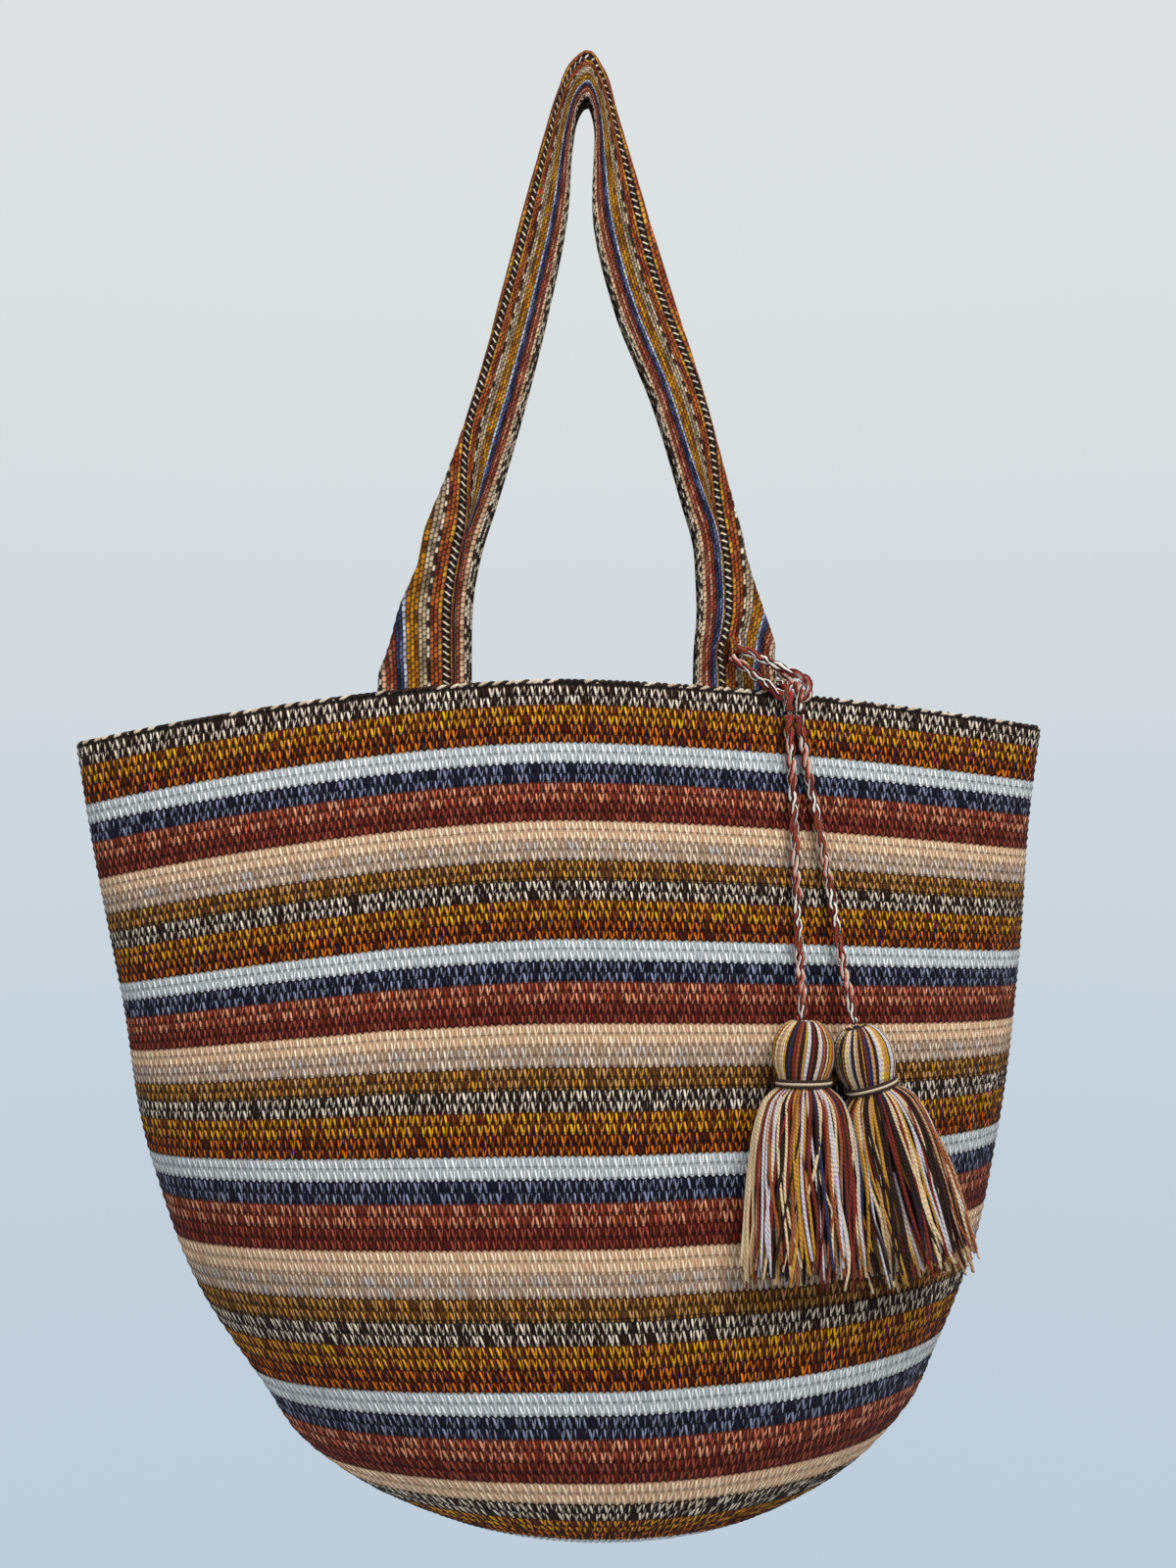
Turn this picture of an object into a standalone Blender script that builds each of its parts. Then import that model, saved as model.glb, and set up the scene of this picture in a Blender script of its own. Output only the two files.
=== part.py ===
"""A crocheted shoulder bag hanging by its two woven straps, with two tassels on a cord.

Metres, +Z up. The front of the bag faces -Y. The origin is the place where the straps'
edges rest on whatever holds the bag up, midway between the two straps.
"""
import bmesh
import bpy
import numpy as np
from mathutils import Vector

# Crocheted wall. Rounds are counted down from the rim: 80 on the sides, then the base.
ROUNDS = 96
RIDGE = 0.0009
INNER_INSET = 0.0037
ROUNDS_PER_STRIPE = 2
FOLD_RADIUS = 0.007
SEGMENTS = 32
INNER_ROUNDS = (0, 4, 10, 17, 24, 32, 40, 48, 55, 61, 67, 72, 76, 80, 84, 90)

# The hanging bag's cross-sections:
# round, half width, half depth, centre x, middle z, droop of the left and the right side
SECTIONS = (
    (0, 0.2000, 0.015, -0.0122, -0.2426, 0.0255, 0.0186),
    (8, 0.1955, 0.024, -0.0116, -0.2744, 0.0255, 0.0150),
    (28, 0.1856, 0.042, -0.0073, -0.3514, 0.0210, 0.0070),
    (48, 0.1742, 0.055, -0.0053, -0.4331, 0.0080, -0.0040),
    (59, 0.1597, 0.059, -0.0010, -0.4811, 0.0085, -0.0060),
    (68, 0.1385, 0.060, 0.0050, -0.5206, 0.0090, -0.0070),
    (73, 0.1260, 0.058, 0.0065, -0.5431, 0.0060, -0.0070),
    (77, 0.1060, 0.053, 0.0070, -0.5606, 0.0030, -0.0040),
    (82, 0.0750, 0.043, 0.0060, -0.5761, 0.0000, -0.0010),
    (88, 0.0410, 0.026, 0.0040, -0.5856, 0.0000, 0.0000),
    (96, 0.0000, 0.000, 0.0035, -0.5881, 0.0000, 0.0000),
)
DROOP_POWER = 1.6

# Soft vertical creases of the front wall: x, width, depth, first and last round
CREASES = (
    (-0.078, 0.011, 0.0028, 7, 46),
    (0.045, 0.020, 0.0016, 30, 74),
)

# Woven strap, folded lengthwise on its way to the hook
STRAP_THICKNESS = 0.0022
TIGHT_FOLD = 0.0014
LOOSE_FOLD = 0.0030
FOLD_SETTLES = 0.0050
STRAP_STEP = 0.015

# Strap stations from the left end over the hook to the right end:
# fold line x and z, inner edge x and z, y, width folded behind
STRAP_STATIONS = (
    (-0.0870, -0.2680, -0.0490, -0.2680, -0.0140, 0.0008),
    (-0.0870, -0.2560, -0.0490, -0.2560, -0.0111, 0.0008),
    (-0.0868, -0.2428, -0.0490, -0.2430, -0.0082, 0.0008),
    (-0.0812, -0.2264, -0.0490, -0.2290, -0.0081, 0.0050),
    (-0.0767, -0.2101, -0.0488, -0.2140, -0.0080, 0.0100),
    (-0.0698, -0.1938, -0.0475, -0.2000, -0.0079, 0.0140),
    (-0.0661, -0.1775, -0.0440, -0.1840, -0.0075, 0.0155),
    (-0.0596, -0.1612, -0.0388, -0.1680, -0.0071, 0.0165),
    (-0.0457, -0.1204, -0.0265, -0.1260, -0.0064, 0.0175),
    (-0.0347, -0.0796, -0.0163, -0.0850, -0.0057, 0.0168),
    (-0.0241, -0.0388, -0.0082, -0.0430, -0.0051, 0.0146),
    (-0.0171, -0.0143, -0.0065, -0.0180, -0.0049, 0.0095),
    (-0.0122, 0.0020, -0.0045, -0.0060, -0.0049, 0.0095),
    (-0.0069, 0.0143, -0.0018, -0.0008, -0.0049, 0.0135),
    (0.0000, 0.0194, 0.0000, 0.0000, -0.0049, 0.0175),
    (0.0061, 0.0120, 0.0008, -0.0012, -0.0049, 0.0115),
    (0.0114, -0.0061, 0.0026, -0.0095, -0.0049, 0.0080),
    (0.0163, -0.0224, 0.0022, -0.0270, -0.0050, 0.0130),
    (0.0212, -0.0388, 0.0018, -0.0430, -0.0051, 0.0175),
    (0.0335, -0.0796, 0.0110, -0.0850, -0.0057, 0.0175),
    (0.0465, -0.1204, 0.0273, -0.1260, -0.0064, 0.0175),
    (0.0575, -0.1612, 0.0396, -0.1670, -0.0071, 0.0165),
    (0.0620, -0.1775, 0.0441, -0.1830, -0.0075, 0.0165),
    (0.0657, -0.1938, 0.0453, -0.1980, -0.0079, 0.0160),
    (0.0710, -0.2101, 0.0457, -0.2130, -0.0080, 0.0110),
    (0.0763, -0.2264, 0.0445, -0.2280, -0.0081, 0.0016),
    (0.0783, -0.2428, 0.0441, -0.2430, -0.0082, 0.0008),
    (0.0783, -0.2560, 0.0440, -0.2560, -0.0111, 0.0008),
    (0.0783, -0.2680, 0.0440, -0.2680, -0.0140, 0.0008),
)

# Slot between the warps of the front strap, where the tassel cord goes through
SLOT_CENTRE = (0.0608, -0.0085, -0.2302)
SLOT_LENGTH = 0.0110
SLOT_WIDTH = 0.0072
SLOT_TILT = 0.585

# Twisted cord, hitched round the right half of the front strap
CORD_RADIUS = 0.00175
HITCH_STEP = 0.0030
HITCH_ROUTE = (
    (0.0808, -0.0208, -0.2541), (0.0808, -0.0208, -0.2500), (0.0810, -0.0194, -0.2462),
    (0.0812, -0.0160, -0.2442), (0.0813, -0.0120, -0.2436), (0.0810, -0.0080, -0.2433),
    (0.0790, -0.0046, -0.2423), (0.0740, -0.0038, -0.2400), (0.0675, -0.0040, -0.2366),
    (0.0625, -0.0045, -0.2337), (0.0596, -0.0088, -0.2320), (0.0606, -0.0122, -0.2332),
    (0.0635, -0.0137, -0.2357), (0.0685, -0.0151, -0.2400), (0.0740, -0.0163, -0.2443),
    (0.0787, -0.0168, -0.2482), (0.0832, -0.0168, -0.2502), (0.0878, -0.0168, -0.2488),
    (0.0896, -0.0168, -0.2445), (0.0874, -0.0166, -0.2404), (0.0825, -0.0163, -0.2383),
    (0.0770, -0.0157, -0.2358), (0.0705, -0.0148, -0.2325), (0.0650, -0.0135, -0.2297),
    (0.0627, -0.0120, -0.2287), (0.0618, -0.0088, -0.2284), (0.0645, -0.0046, -0.2298),
    (0.0695, -0.0040, -0.2326), (0.0765, -0.0036, -0.2364), (0.0818, -0.0046, -0.2398),
    (0.0850, -0.0080, -0.2424), (0.0855, -0.0120, -0.2434), (0.0853, -0.0160, -0.2442),
    (0.0851, -0.0194, -0.2462), (0.0849, -0.0208, -0.2500), (0.0849, -0.0208, -0.2541),
)

# The two hanging cords, each from its pivot under the hitch down to its tassel
CORD_STEP = 0.004
LEFT_CORD_ROUTE = (
    (0.0808, -0.0208, -0.2562), (0.0809, -0.0218, -0.2620), (0.0812, -0.0250, -0.2740),
    (0.0814, -0.0302, -0.2953), (0.0818, -0.0352, -0.3223), (0.0819, -0.0420, -0.3488),
    (0.0819, -0.0490, -0.3620), (0.0819, -0.0530, -0.3728),
)
RIGHT_CORD_ROUTE = (
    (0.0849, -0.0208, -0.2562), (0.0856, -0.0216, -0.2620), (0.0872, -0.0240, -0.2740),
    (0.0910, -0.0298, -0.2990), (0.0950, -0.0352, -0.3250), (0.0985, -0.0400, -0.3500),
    (0.1006, -0.0456, -0.3640), (0.1019, -0.0496, -0.3748),
)

# Tassels: height above the binding, half width, depth over width
TASSEL_RINGS = (
    (0.0232, 0.0030, 1.00), (0.0226, 0.0062, 0.95), (0.0200, 0.0096, 0.88),
    (0.0155, 0.0121, 0.82), (0.0100, 0.0126, 0.80), (0.0050, 0.0114, 0.80),
    (0.0016, 0.0094, 0.80), (-0.0016, 0.0094, 0.80), (-0.0060, 0.0128, 0.72),
    (-0.0150, 0.0150, 0.64), (-0.0300, 0.0172, 0.56), (-0.0500, 0.0197, 0.48),
    (-0.0735, 0.0226, 0.42),
)
TASSEL_SEGMENTS = 28
FLUTE_DEPTH = 0.07
BINDING_RADIUS = 0.0012
BINDING_GAP = 0.0004

# Each tassel's binding centre, the middle of its lower end, and a scale on its width
TASSELS = {
    "left": ((0.0817, -0.0560, -0.3966), (0.0809, -0.0632, -0.4700), 0.96),
    "right": ((0.1084, -0.0512, -0.3990), (0.1280, -0.0545, -0.4710), 0.92),
}


def new_material(name, colour, roughness=0.9):
    """A plain matt material in one colour."""
    material = bpy.data.materials.new(name)
    material.use_nodes = True
    shader = material.node_tree.nodes["Principled BSDF"]
    shader.inputs["Base Color"].default_value = (*colour, 1.0)
    shader.inputs["Roughness"].default_value = roughness
    shader.inputs["Metallic"].default_value = 0.0
    return material


def link(obj, material, collection):
    """Puts an object in a collection with its material."""
    obj.data.materials.append(material)
    collection.objects.link(obj)
    return obj


def mesh_object(name, points, faces, material, collection):
    """A smooth-shaded mesh object with its faces turned outward."""
    mesh = bpy.data.meshes.new(name)
    mesh.from_pydata([tuple(p) for p in points], [], faces)
    shape = bmesh.new()
    shape.from_mesh(mesh)
    bmesh.ops.recalc_face_normals(shape, faces=shape.faces)
    shape.to_mesh(mesh)
    shape.free()
    mesh.shade_smooth()
    return link(bpy.data.objects.new(name, mesh), material, collection)


def curve_through(keys, values, at):
    """Smooth curve through (key, value) pairs: cubic pieces with the neighbours' mean slope."""
    keys = np.asarray(keys, float)
    values = np.asarray(values, float)
    at = np.asarray(at, float)
    width = np.diff(keys)
    slope = np.diff(values, axis=0) / width.reshape(-1, *([1] * (values.ndim - 1)))
    before, after = width[:-1], width[1:]
    weight = (after / (before + after)).reshape(-1, *([1] * (values.ndim - 1)))
    tangent = np.concatenate([slope[:1], slope[:-1] * weight + slope[1:] * (1 - weight),
                              slope[-1:]])
    i = np.clip(np.searchsorted(keys, at, side="right") - 1, 0, len(keys) - 2)
    shape = (-1, *([1] * (values.ndim - 1)))
    h = width[i].reshape(shape)
    t = np.clip((at - keys[i]) / width[i], 0, 1).reshape(shape)
    start = (1 + 2 * t) * (1 - t) ** 2 * values[i] + t * (1 - t) ** 2 * h * tangent[i]
    end = t * t * (3 - 2 * t) * values[i + 1] + t * t * (t - 1) * h * tangent[i + 1]
    return start + end


def even_route(route, step):
    """Points every step or so along a smooth curve through the route's points."""
    route = np.asarray(route, float)
    keys = np.concatenate([[0], np.cumsum(np.linalg.norm(np.diff(route, axis=0), axis=1))])
    count = max(2, round(keys[-1] / step))
    return curve_through(keys, route, np.linspace(0, keys[-1], count + 1))


def crease_depth(x, rounds):
    """How far the front wall is pressed in at x, on each of the rounds."""
    depth = np.zeros_like(x)
    for centre, width, most, first, last in CREASES:
        fade = np.sin(np.pi * np.clip((rounds - first) / (last - first), 0, 1)) ** 0.7
        depth += most * fade * np.exp(-((x - centre) / width) ** 2)
    return depth


def bag_ring(this_round, around, inset=0.0):
    """Points of one cross-section of the wall, pressed in by inset.

    The section is an ellipse grown by the side folds' radius, and around runs from the
    left fold (0) by the front (0.5 at the right fold) to the back, by length.
    """
    keys, *columns = zip(*SECTIONS)
    half_width, half_depth, centre_x, middle_z, left, right = (
        float(curve_through(keys, column, [this_round])[0]) for column in columns)
    half_width, half_depth = half_width - inset, half_depth - inset
    fold = min(FOLD_RADIUS, 0.6 * half_depth)
    a, b = half_width - fold, half_depth - fold

    def outline(t):
        normal = np.arctan2(a * np.sin(t), b * np.cos(t))
        return (-(a * np.cos(t) + fold * np.cos(normal)),
                -(b * np.sin(t) + fold * np.sin(normal)))

    t = np.linspace(0, 2 * np.pi, 721)
    x, y = outline(t)
    length = np.concatenate([[0], np.cumsum(np.hypot(np.diff(x), np.diff(y)))])
    x, y = outline(np.interp(np.asarray(around) * length[-1], length, t))
    droop = np.where(x < 0, left, right) * np.abs(x / half_width) ** DROOP_POWER
    front = np.clip(-y / half_depth, 0, 1)
    y = y + front * crease_depth(x + centre_x, np.full_like(x, this_round))
    rise = inset * np.clip((this_round - 60) / 24, 0, 1)
    return np.stack([x + centre_x, y, middle_z - droop + rise], axis=-1)


def grid_faces(start, rows, count):
    """Quads of a grid of rings that starts at vertex start, each ring closed."""
    faces = []
    for row in range(rows - 1):
        for k in range(count):
            a = start + row * count + k
            b = start + row * count + (k + 1) % count
            faces.append((a, b, b + count, a + count))
    return faces


def build_bag_body(material, collection):
    """The crocheted bag: a ridge for each stripe outside, a plain inside, an open mouth."""
    half = SEGMENTS // 2
    gather = (1 - np.cos(np.linspace(0, np.pi, half + 1))) / 2
    side = 0.45 * gather + 0.55 * np.linspace(0, 1, half + 1)
    around = np.concatenate([side[:-1] / 2, 0.5 + side[:-1] / 2])

    outer = []
    for crest in range(ROUNDS):
        pressed = 0.0 if crest % ROUNDS_PER_STRIPE else RIDGE
        outer.append(bag_ring(crest, around, pressed))
    inner = [bag_ring(k, around, INNER_INSET) for k in INNER_ROUNDS]
    lip = (outer[0] + inner[0]) / 2 + np.array([0, 0, 0.0012])

    rings = inner[::-1] + [lip] + outer
    points = np.concatenate(rings)
    faces = grid_faces(0, len(rings), SEGMENTS)
    inner_pole = bag_ring(ROUNDS - 2, [0], INNER_INSET)[0]
    inner_pole[:2] = (SECTIONS[-1][3], 0)
    outer_pole = np.array([SECTIONS[-1][3], 0, SECTIONS[-1][4]])
    points = np.concatenate([points, [inner_pole, outer_pole]])
    last = (len(rings) - 1) * SEGMENTS
    for k in range(SEGMENTS):
        following = (k + 1) % SEGMENTS
        faces.append((len(points) - 2, following, k))
        faces.append((last + k, last + following, len(points) - 1))
    return mesh_object("bag_body", points, faces, material, collection)


def strap_section(height, hidden):
    """Section of a strap, as (inward, backward) from its fold line.

    The front layer lies flat for height, and hidden is the width turned in behind it.
    """
    settled = min(1.0, hidden / FOLD_SETTLES)
    turn = np.radians(14 + 164 * settled ** 2 * (3 - 2 * settled))
    bend = TIGHT_FOLD + (LOOSE_FOLD - TIGHT_FOLD) * (1 - settled) ** 2
    flat = [(height, 0.0), ((height + bend) / 2, 0.0)]
    curl = [(bend - bend * np.sin(a), bend - bend * np.cos(a))
            for a in np.linspace(0, turn, 4)]
    rest = max(0.0008, hidden - bend * turn / 2)
    ahead = np.array([-np.cos(turn), np.sin(turn)])
    end = np.array(curl[-1])
    return np.array(flat + curl + [end + ahead * rest / 2, end + ahead * rest])


def strap_points():
    """Grid of points on the middle surface of the front strap, end to end."""
    rows = []
    for fold_x, fold_z, edge_x, edge_z, y, hidden in even_route(STRAP_STATIONS, STRAP_STEP):
        inward = np.array([edge_x - fold_x, 0, edge_z - fold_z])
        height = np.linalg.norm(inward)
        across = strap_section(height, hidden)
        rows.append(np.array([fold_x, y, fold_z]) + across[:, :1] * inward / height
                    + across[:, 1:] * np.array([0, 1, 0]))
    return np.array(rows)


def build_strap(name, material, collection, mirror=1):
    """A woven strap: an open ribbon with a thickness. The back one is turned in y."""
    grid = strap_points()
    grid[:, :, 1] *= mirror
    rows, count = grid.shape[:2]
    faces = [(r * count + k, r * count + k + 1, (r + 1) * count + k + 1, (r + 1) * count + k)
             for r in range(rows - 1) for k in range(count - 1)]
    mesh = bpy.data.meshes.new(name)
    mesh.from_pydata([tuple(p) for p in grid.reshape(-1, 3)], [], faces)
    mesh.shade_smooth()
    strap = link(bpy.data.objects.new(name, mesh), material, collection)
    thicken = strap.modifiers.new("thickness", "SOLIDIFY")
    thicken.thickness = STRAP_THICKNESS
    thicken.offset = 0
    return strap


def cut_cord_slot(strap, cutters):
    """Parts the warps of the front strap where the tassel cord goes through."""
    shape = bmesh.new()
    bmesh.ops.create_cube(shape, size=1)
    bmesh.ops.scale(shape, vec=(SLOT_WIDTH, 0.02, SLOT_LENGTH), verts=shape.verts)
    mesh = bpy.data.meshes.new("cord_slot")
    shape.to_mesh(mesh)
    shape.free()
    slot = bpy.data.objects.new("cord_slot", mesh)
    slot.location = SLOT_CENTRE
    slot.rotation_euler = (0, SLOT_TILT, 0)
    slot.hide_render = True
    slot.display_type = "WIRE"
    cutters.objects.link(slot)
    corners = slot.modifiers.new("corners", "BEVEL")
    corners.width = SLOT_WIDTH * 0.3
    corners.segments = 2
    cut = strap.modifiers.new("slot", "BOOLEAN")
    cut.operation = "DIFFERENCE"
    cut.object = slot


def cord(name, points, radii, material, collection):
    """A round cord along the points, with filled ends and a radius factor at each point."""
    curve = bpy.data.curves.new(name, "CURVE")
    curve.dimensions = "3D"
    curve.bevel_depth = CORD_RADIUS
    curve.bevel_resolution = 2
    curve.use_fill_caps = True
    spline = curve.splines.new("POLY")
    spline.points.add(len(points) - 1)
    for point, place, radius in zip(spline.points, points, radii):
        point.co = (*place, 1)
        point.radius = radius
    return link(bpy.data.objects.new(name, curve), material, collection)


def build_hitch(material, collection):
    """The doubled cord's hitch, both of its ends turned down."""
    points = even_route(HITCH_ROUTE, HITCH_STEP)
    return cord("cord_hitch", points, np.ones(len(points)), material, collection)


def build_hanging_cord(name, route, material, collection):
    """A hanging cord whose top is a half ball round its pivot."""
    points = even_route(route, CORD_STEP)
    dome = np.sin(np.radians([75, 50, 25]))
    top = [points[0] + Vector((0, 0, CORD_RADIUS * height)) for height in dome]
    radii = np.concatenate([np.cos(np.radians([75, 50, 25])), np.ones(len(points))])
    return cord(name, [*top, *points], radii, material, collection)


def tassel_frame(side):
    """Binding centre, unit axis upward and the widthways direction of a tassel."""
    neck, low, width = TASSELS[side]
    axis = (Vector(neck) - Vector(low)).normalized()
    across = (Vector((1, 0, 0)) - axis * axis.x).normalized()
    return Vector(neck), axis, across, axis.cross(across), width


def tassel_ring(side, height, half_width, flatness, flutes):
    """Points round one level of a tassel, with shallow flutes between its yarns."""
    neck, axis, across, depth, width = tassel_frame(side)
    ring = []
    for k in range(TASSEL_SEGMENTS):
        angle = 2 * np.pi * k / TASSEL_SEGMENTS
        radius = half_width * width * (1 - flutes * (k % 2))
        ring.append(neck + axis * height + across * (radius * np.cos(angle))
                    + depth * (radius * flatness * np.sin(angle)))
    return ring


def build_tassel(side, material, collection):
    """A bound tassel: fluted head, narrow neck and a flattened skirt of yarns."""
    points = []
    for height, half_width, flatness in TASSEL_RINGS:
        at_neck = abs(height) < 0.002
        points += tassel_ring(side, height, half_width, flatness, 0 if at_neck else FLUTE_DEPTH)
    rings = len(TASSEL_RINGS)
    faces = grid_faces(0, rings, TASSEL_SEGMENTS)
    faces.append(tuple(range(TASSEL_SEGMENTS)))
    faces.append(tuple((rings - 1) * TASSEL_SEGMENTS + k for k in range(TASSEL_SEGMENTS)))
    return mesh_object(f"{side}_tassel", points, faces, material, collection)


def build_binding(side, material, collection):
    """The yarn wound round a tassel's neck, one ring of oval plan."""
    around_tube = 6
    half_width = TASSEL_RINGS[6][1]
    flatness = TASSEL_RINGS[6][2]
    width = TASSELS[side][2]
    grown = (half_width * width + BINDING_GAP + BINDING_RADIUS) / width
    points = []
    for j in range(around_tube):
        turn = 2 * np.pi * j / around_tube
        radius = grown + BINDING_RADIUS / width * np.cos(turn)
        flat = (flatness * half_width + radius - half_width) / radius
        points += tassel_ring(side, BINDING_RADIUS * np.sin(turn), radius, flat, 0)
    faces = grid_faces(0, around_tube, TASSEL_SEGMENTS)
    last = (around_tube - 1) * TASSEL_SEGMENTS
    for k in range(TASSEL_SEGMENTS):
        following = (k + 1) % TASSEL_SEGMENTS
        faces.append((last + k, last + following, following, k))
    return mesh_object(f"{side}_tassel_binding", points, faces, material, collection)


def main():
    for obj in list(bpy.data.objects):
        bpy.data.objects.remove(obj, do_unlink=True)
    bag = bpy.data.collections.new("crochet_bag")
    cutters = bpy.data.collections.new("cutters")
    bpy.context.scene.collection.children.link(bag)
    bpy.context.scene.collection.children.link(cutters)

    crochet = new_material("crochet_yarn", (0.36, 0.20, 0.12))
    webbing = new_material("woven_strap", (0.38, 0.24, 0.16))
    twisted = new_material("twisted_cord", (0.45, 0.22, 0.17))
    yarns = new_material("tassel_yarn", (0.34, 0.22, 0.15))
    bound = new_material("binding_yarn", (0.50, 0.42, 0.34))

    build_bag_body(crochet, bag)
    front = build_strap("front_strap", webbing, bag)
    cut_cord_slot(front, cutters)
    build_strap("back_strap", webbing, bag, mirror=-1)
    build_hitch(twisted, bag)
    build_hanging_cord("left_cord", LEFT_CORD_ROUTE, twisted, bag)
    build_hanging_cord("right_cord", RIGHT_CORD_ROUTE, twisted, bag)
    for side in TASSELS:
        build_tassel(side, yarns, bag)
        build_binding(side, bound, bag)


main()
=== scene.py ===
"""Looks of a striped crochet bag on two woven straps, with two tassels on a twisted cord."""
import math

import bpy
import numpy as np
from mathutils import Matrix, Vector


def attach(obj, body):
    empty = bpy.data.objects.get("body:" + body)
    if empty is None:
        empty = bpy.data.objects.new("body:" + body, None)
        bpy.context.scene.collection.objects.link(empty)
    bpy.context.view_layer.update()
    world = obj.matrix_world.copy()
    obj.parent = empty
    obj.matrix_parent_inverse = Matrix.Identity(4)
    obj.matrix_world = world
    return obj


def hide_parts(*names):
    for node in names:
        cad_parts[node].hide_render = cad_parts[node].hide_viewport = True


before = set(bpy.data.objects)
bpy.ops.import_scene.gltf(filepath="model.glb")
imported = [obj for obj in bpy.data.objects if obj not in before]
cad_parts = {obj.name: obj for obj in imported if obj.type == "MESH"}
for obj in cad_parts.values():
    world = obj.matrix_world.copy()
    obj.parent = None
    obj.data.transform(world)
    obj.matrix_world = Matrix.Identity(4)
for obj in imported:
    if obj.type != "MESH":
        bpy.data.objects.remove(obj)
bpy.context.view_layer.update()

# ---------------------------------------------------------------- sizes, in metres
# The photograph's camera: distance to the straps' plane, height and focal length
CAMERA_DISTANCE = 0.62
CAMERA_HEIGHT = -0.28356
CAMERA_LENS = 34.19

# Crocheted wall: rounds counted down from the rim, 80 on the sides and 16 in the base
SIDE_ROUNDS = 80
ROUNDS = 96
WALL_THICKNESS = 0.0031
FOLD_RADIUS = 0.007
DROOP_POWER = 1.6
# Round, half width, half depth, x and z of the middle, and by how much the left and the right
# end hang lower
SECTIONS = (
    (0, 0.2000, 0.015, -0.0122, -0.2426, 0.0255, 0.0186),
    (8, 0.1955, 0.024, -0.0116, -0.2744, 0.0255, 0.0150),
    (28, 0.1856, 0.042, -0.0073, -0.3514, 0.0210, 0.0070),
    (48, 0.1742, 0.055, -0.0053, -0.4331, 0.0080, -0.0040),
    (59, 0.1597, 0.059, -0.0010, -0.4811, 0.0085, -0.0060),
    (68, 0.1385, 0.060, 0.0050, -0.5206, 0.0090, -0.0070),
    (73, 0.1260, 0.058, 0.0065, -0.5431, 0.0060, -0.0070),
    (77, 0.1060, 0.053, 0.0070, -0.5606, 0.0030, -0.0040),
    (82, 0.0750, 0.043, 0.0060, -0.5761, 0.0000, -0.0010),
    (88, 0.0410, 0.026, 0.0040, -0.5838, 0.0000, 0.0000),
    (96, 0.0000, 0.000, 0.0035, -0.5862, 0.0000, 0.0000),
)
# Creases that press the front in: x, half width, depth, and the first and last round
CREASES = (
    (-0.078, 0.011, 0.0028, 7, 46),
    (0.045, 0.020, 0.0016, 30, 74),
)
# Stitches of a round on the sides, and of the last of them. From SIDE_TAPER on, every second
# round of the sides has SIDE_FEWER fewer, and each round of the base has BASE_FEWER fewer
STITCHES = 288
SIDE_TAPER = 58
SIDE_FEWER = 12
BASE_STITCHES = 168
BASE_FEWER = 9
# Stitches by which each round starts later, and the share of a round that a stitch's point
# reaches into the next one
LEAN = 1 / 3
TIP = 0.24
# A stitch's legs in the material and, wider, in the mesh: place across at the top and at the
# bottom, half width, and height
LEFT_LEG = (0.12, 0.48, 0.190, 1.0)
RIGHT_LEG = (0.86, 0.60, 0.135, 0.74)
MESH_LEGS = ((0.14, 0.50, 0.34, 1.0), (0.86, 0.50, 0.26, 0.85))
RELIEF = 0.00065
# How dark the painted shade in the groove between two rounds is, and how deep the groove is
GROOVE_SHADE = 0.76
GROOVE_DEPTH = 0.45
# Mesh points in a stitch, across and down
COLUMNS = 3
ROWS = 4
# Chain along the rim: points round it, its yarns' radius, how far they swing across and up,
# how far they lie above the edge, and the rim's length
RIM_POINTS = 1200
RIM_RADIUS = 0.00082
RIM_SWING = (0.00105, 0.0007)
RIM_RISE = 0.0006
RIM_LENGTH = 0.83
# Pieces of the wall: name, first round and the round after the last
BANDS = (("rim_and_upper", 0, 20), ("upper", 20, 40), ("middle", 40, 60), ("lower", 60, 80),
         ("base", 80, 96))

# Woven straps. The fold's bend is loose where little is folded away, and tight from
# FOLD_SETTLES on
STRAP_THICKNESS = 0.0020
TIGHT_FOLD = 0.0014
LOOSE_FOLD = 0.0030
FOLD_SETTLES = 0.0050
STRAP_ROWS = 270
WARPS = 37
WARP_RELIEF = 0.00022
WEFT_STEP = 0.00122
# A warp's width from the middle one to the edge, as a share of an ordinary one
WARP_WIDTHS = (2.1, 1, 1, 1, 0.8, 1, 1, 1, 1, 1, 0.9, 0.9, 0.8, 0.9, 0.9, 0.9, 1.2, 0.6, 0.45)
# The warps that are drawn into the left and right leg's pleat, the heights between which it
# grows, and the share of their width that it takes
PLEAT_WARPS = {-1: (4, 18), 1: (8, 18)}
PLEAT_FROM = -0.135
PLEAT_TO = -0.185
PLEAT_TAKES = 0.9
PLEAT_DEPTH = 0.0007
# Towards the hook the fold lies beyond the middle warp, by drawing in the warps before it
SHIFT_FROM = -0.165
SHIFT_TO = -0.050
SHIFT = 0.20
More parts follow.
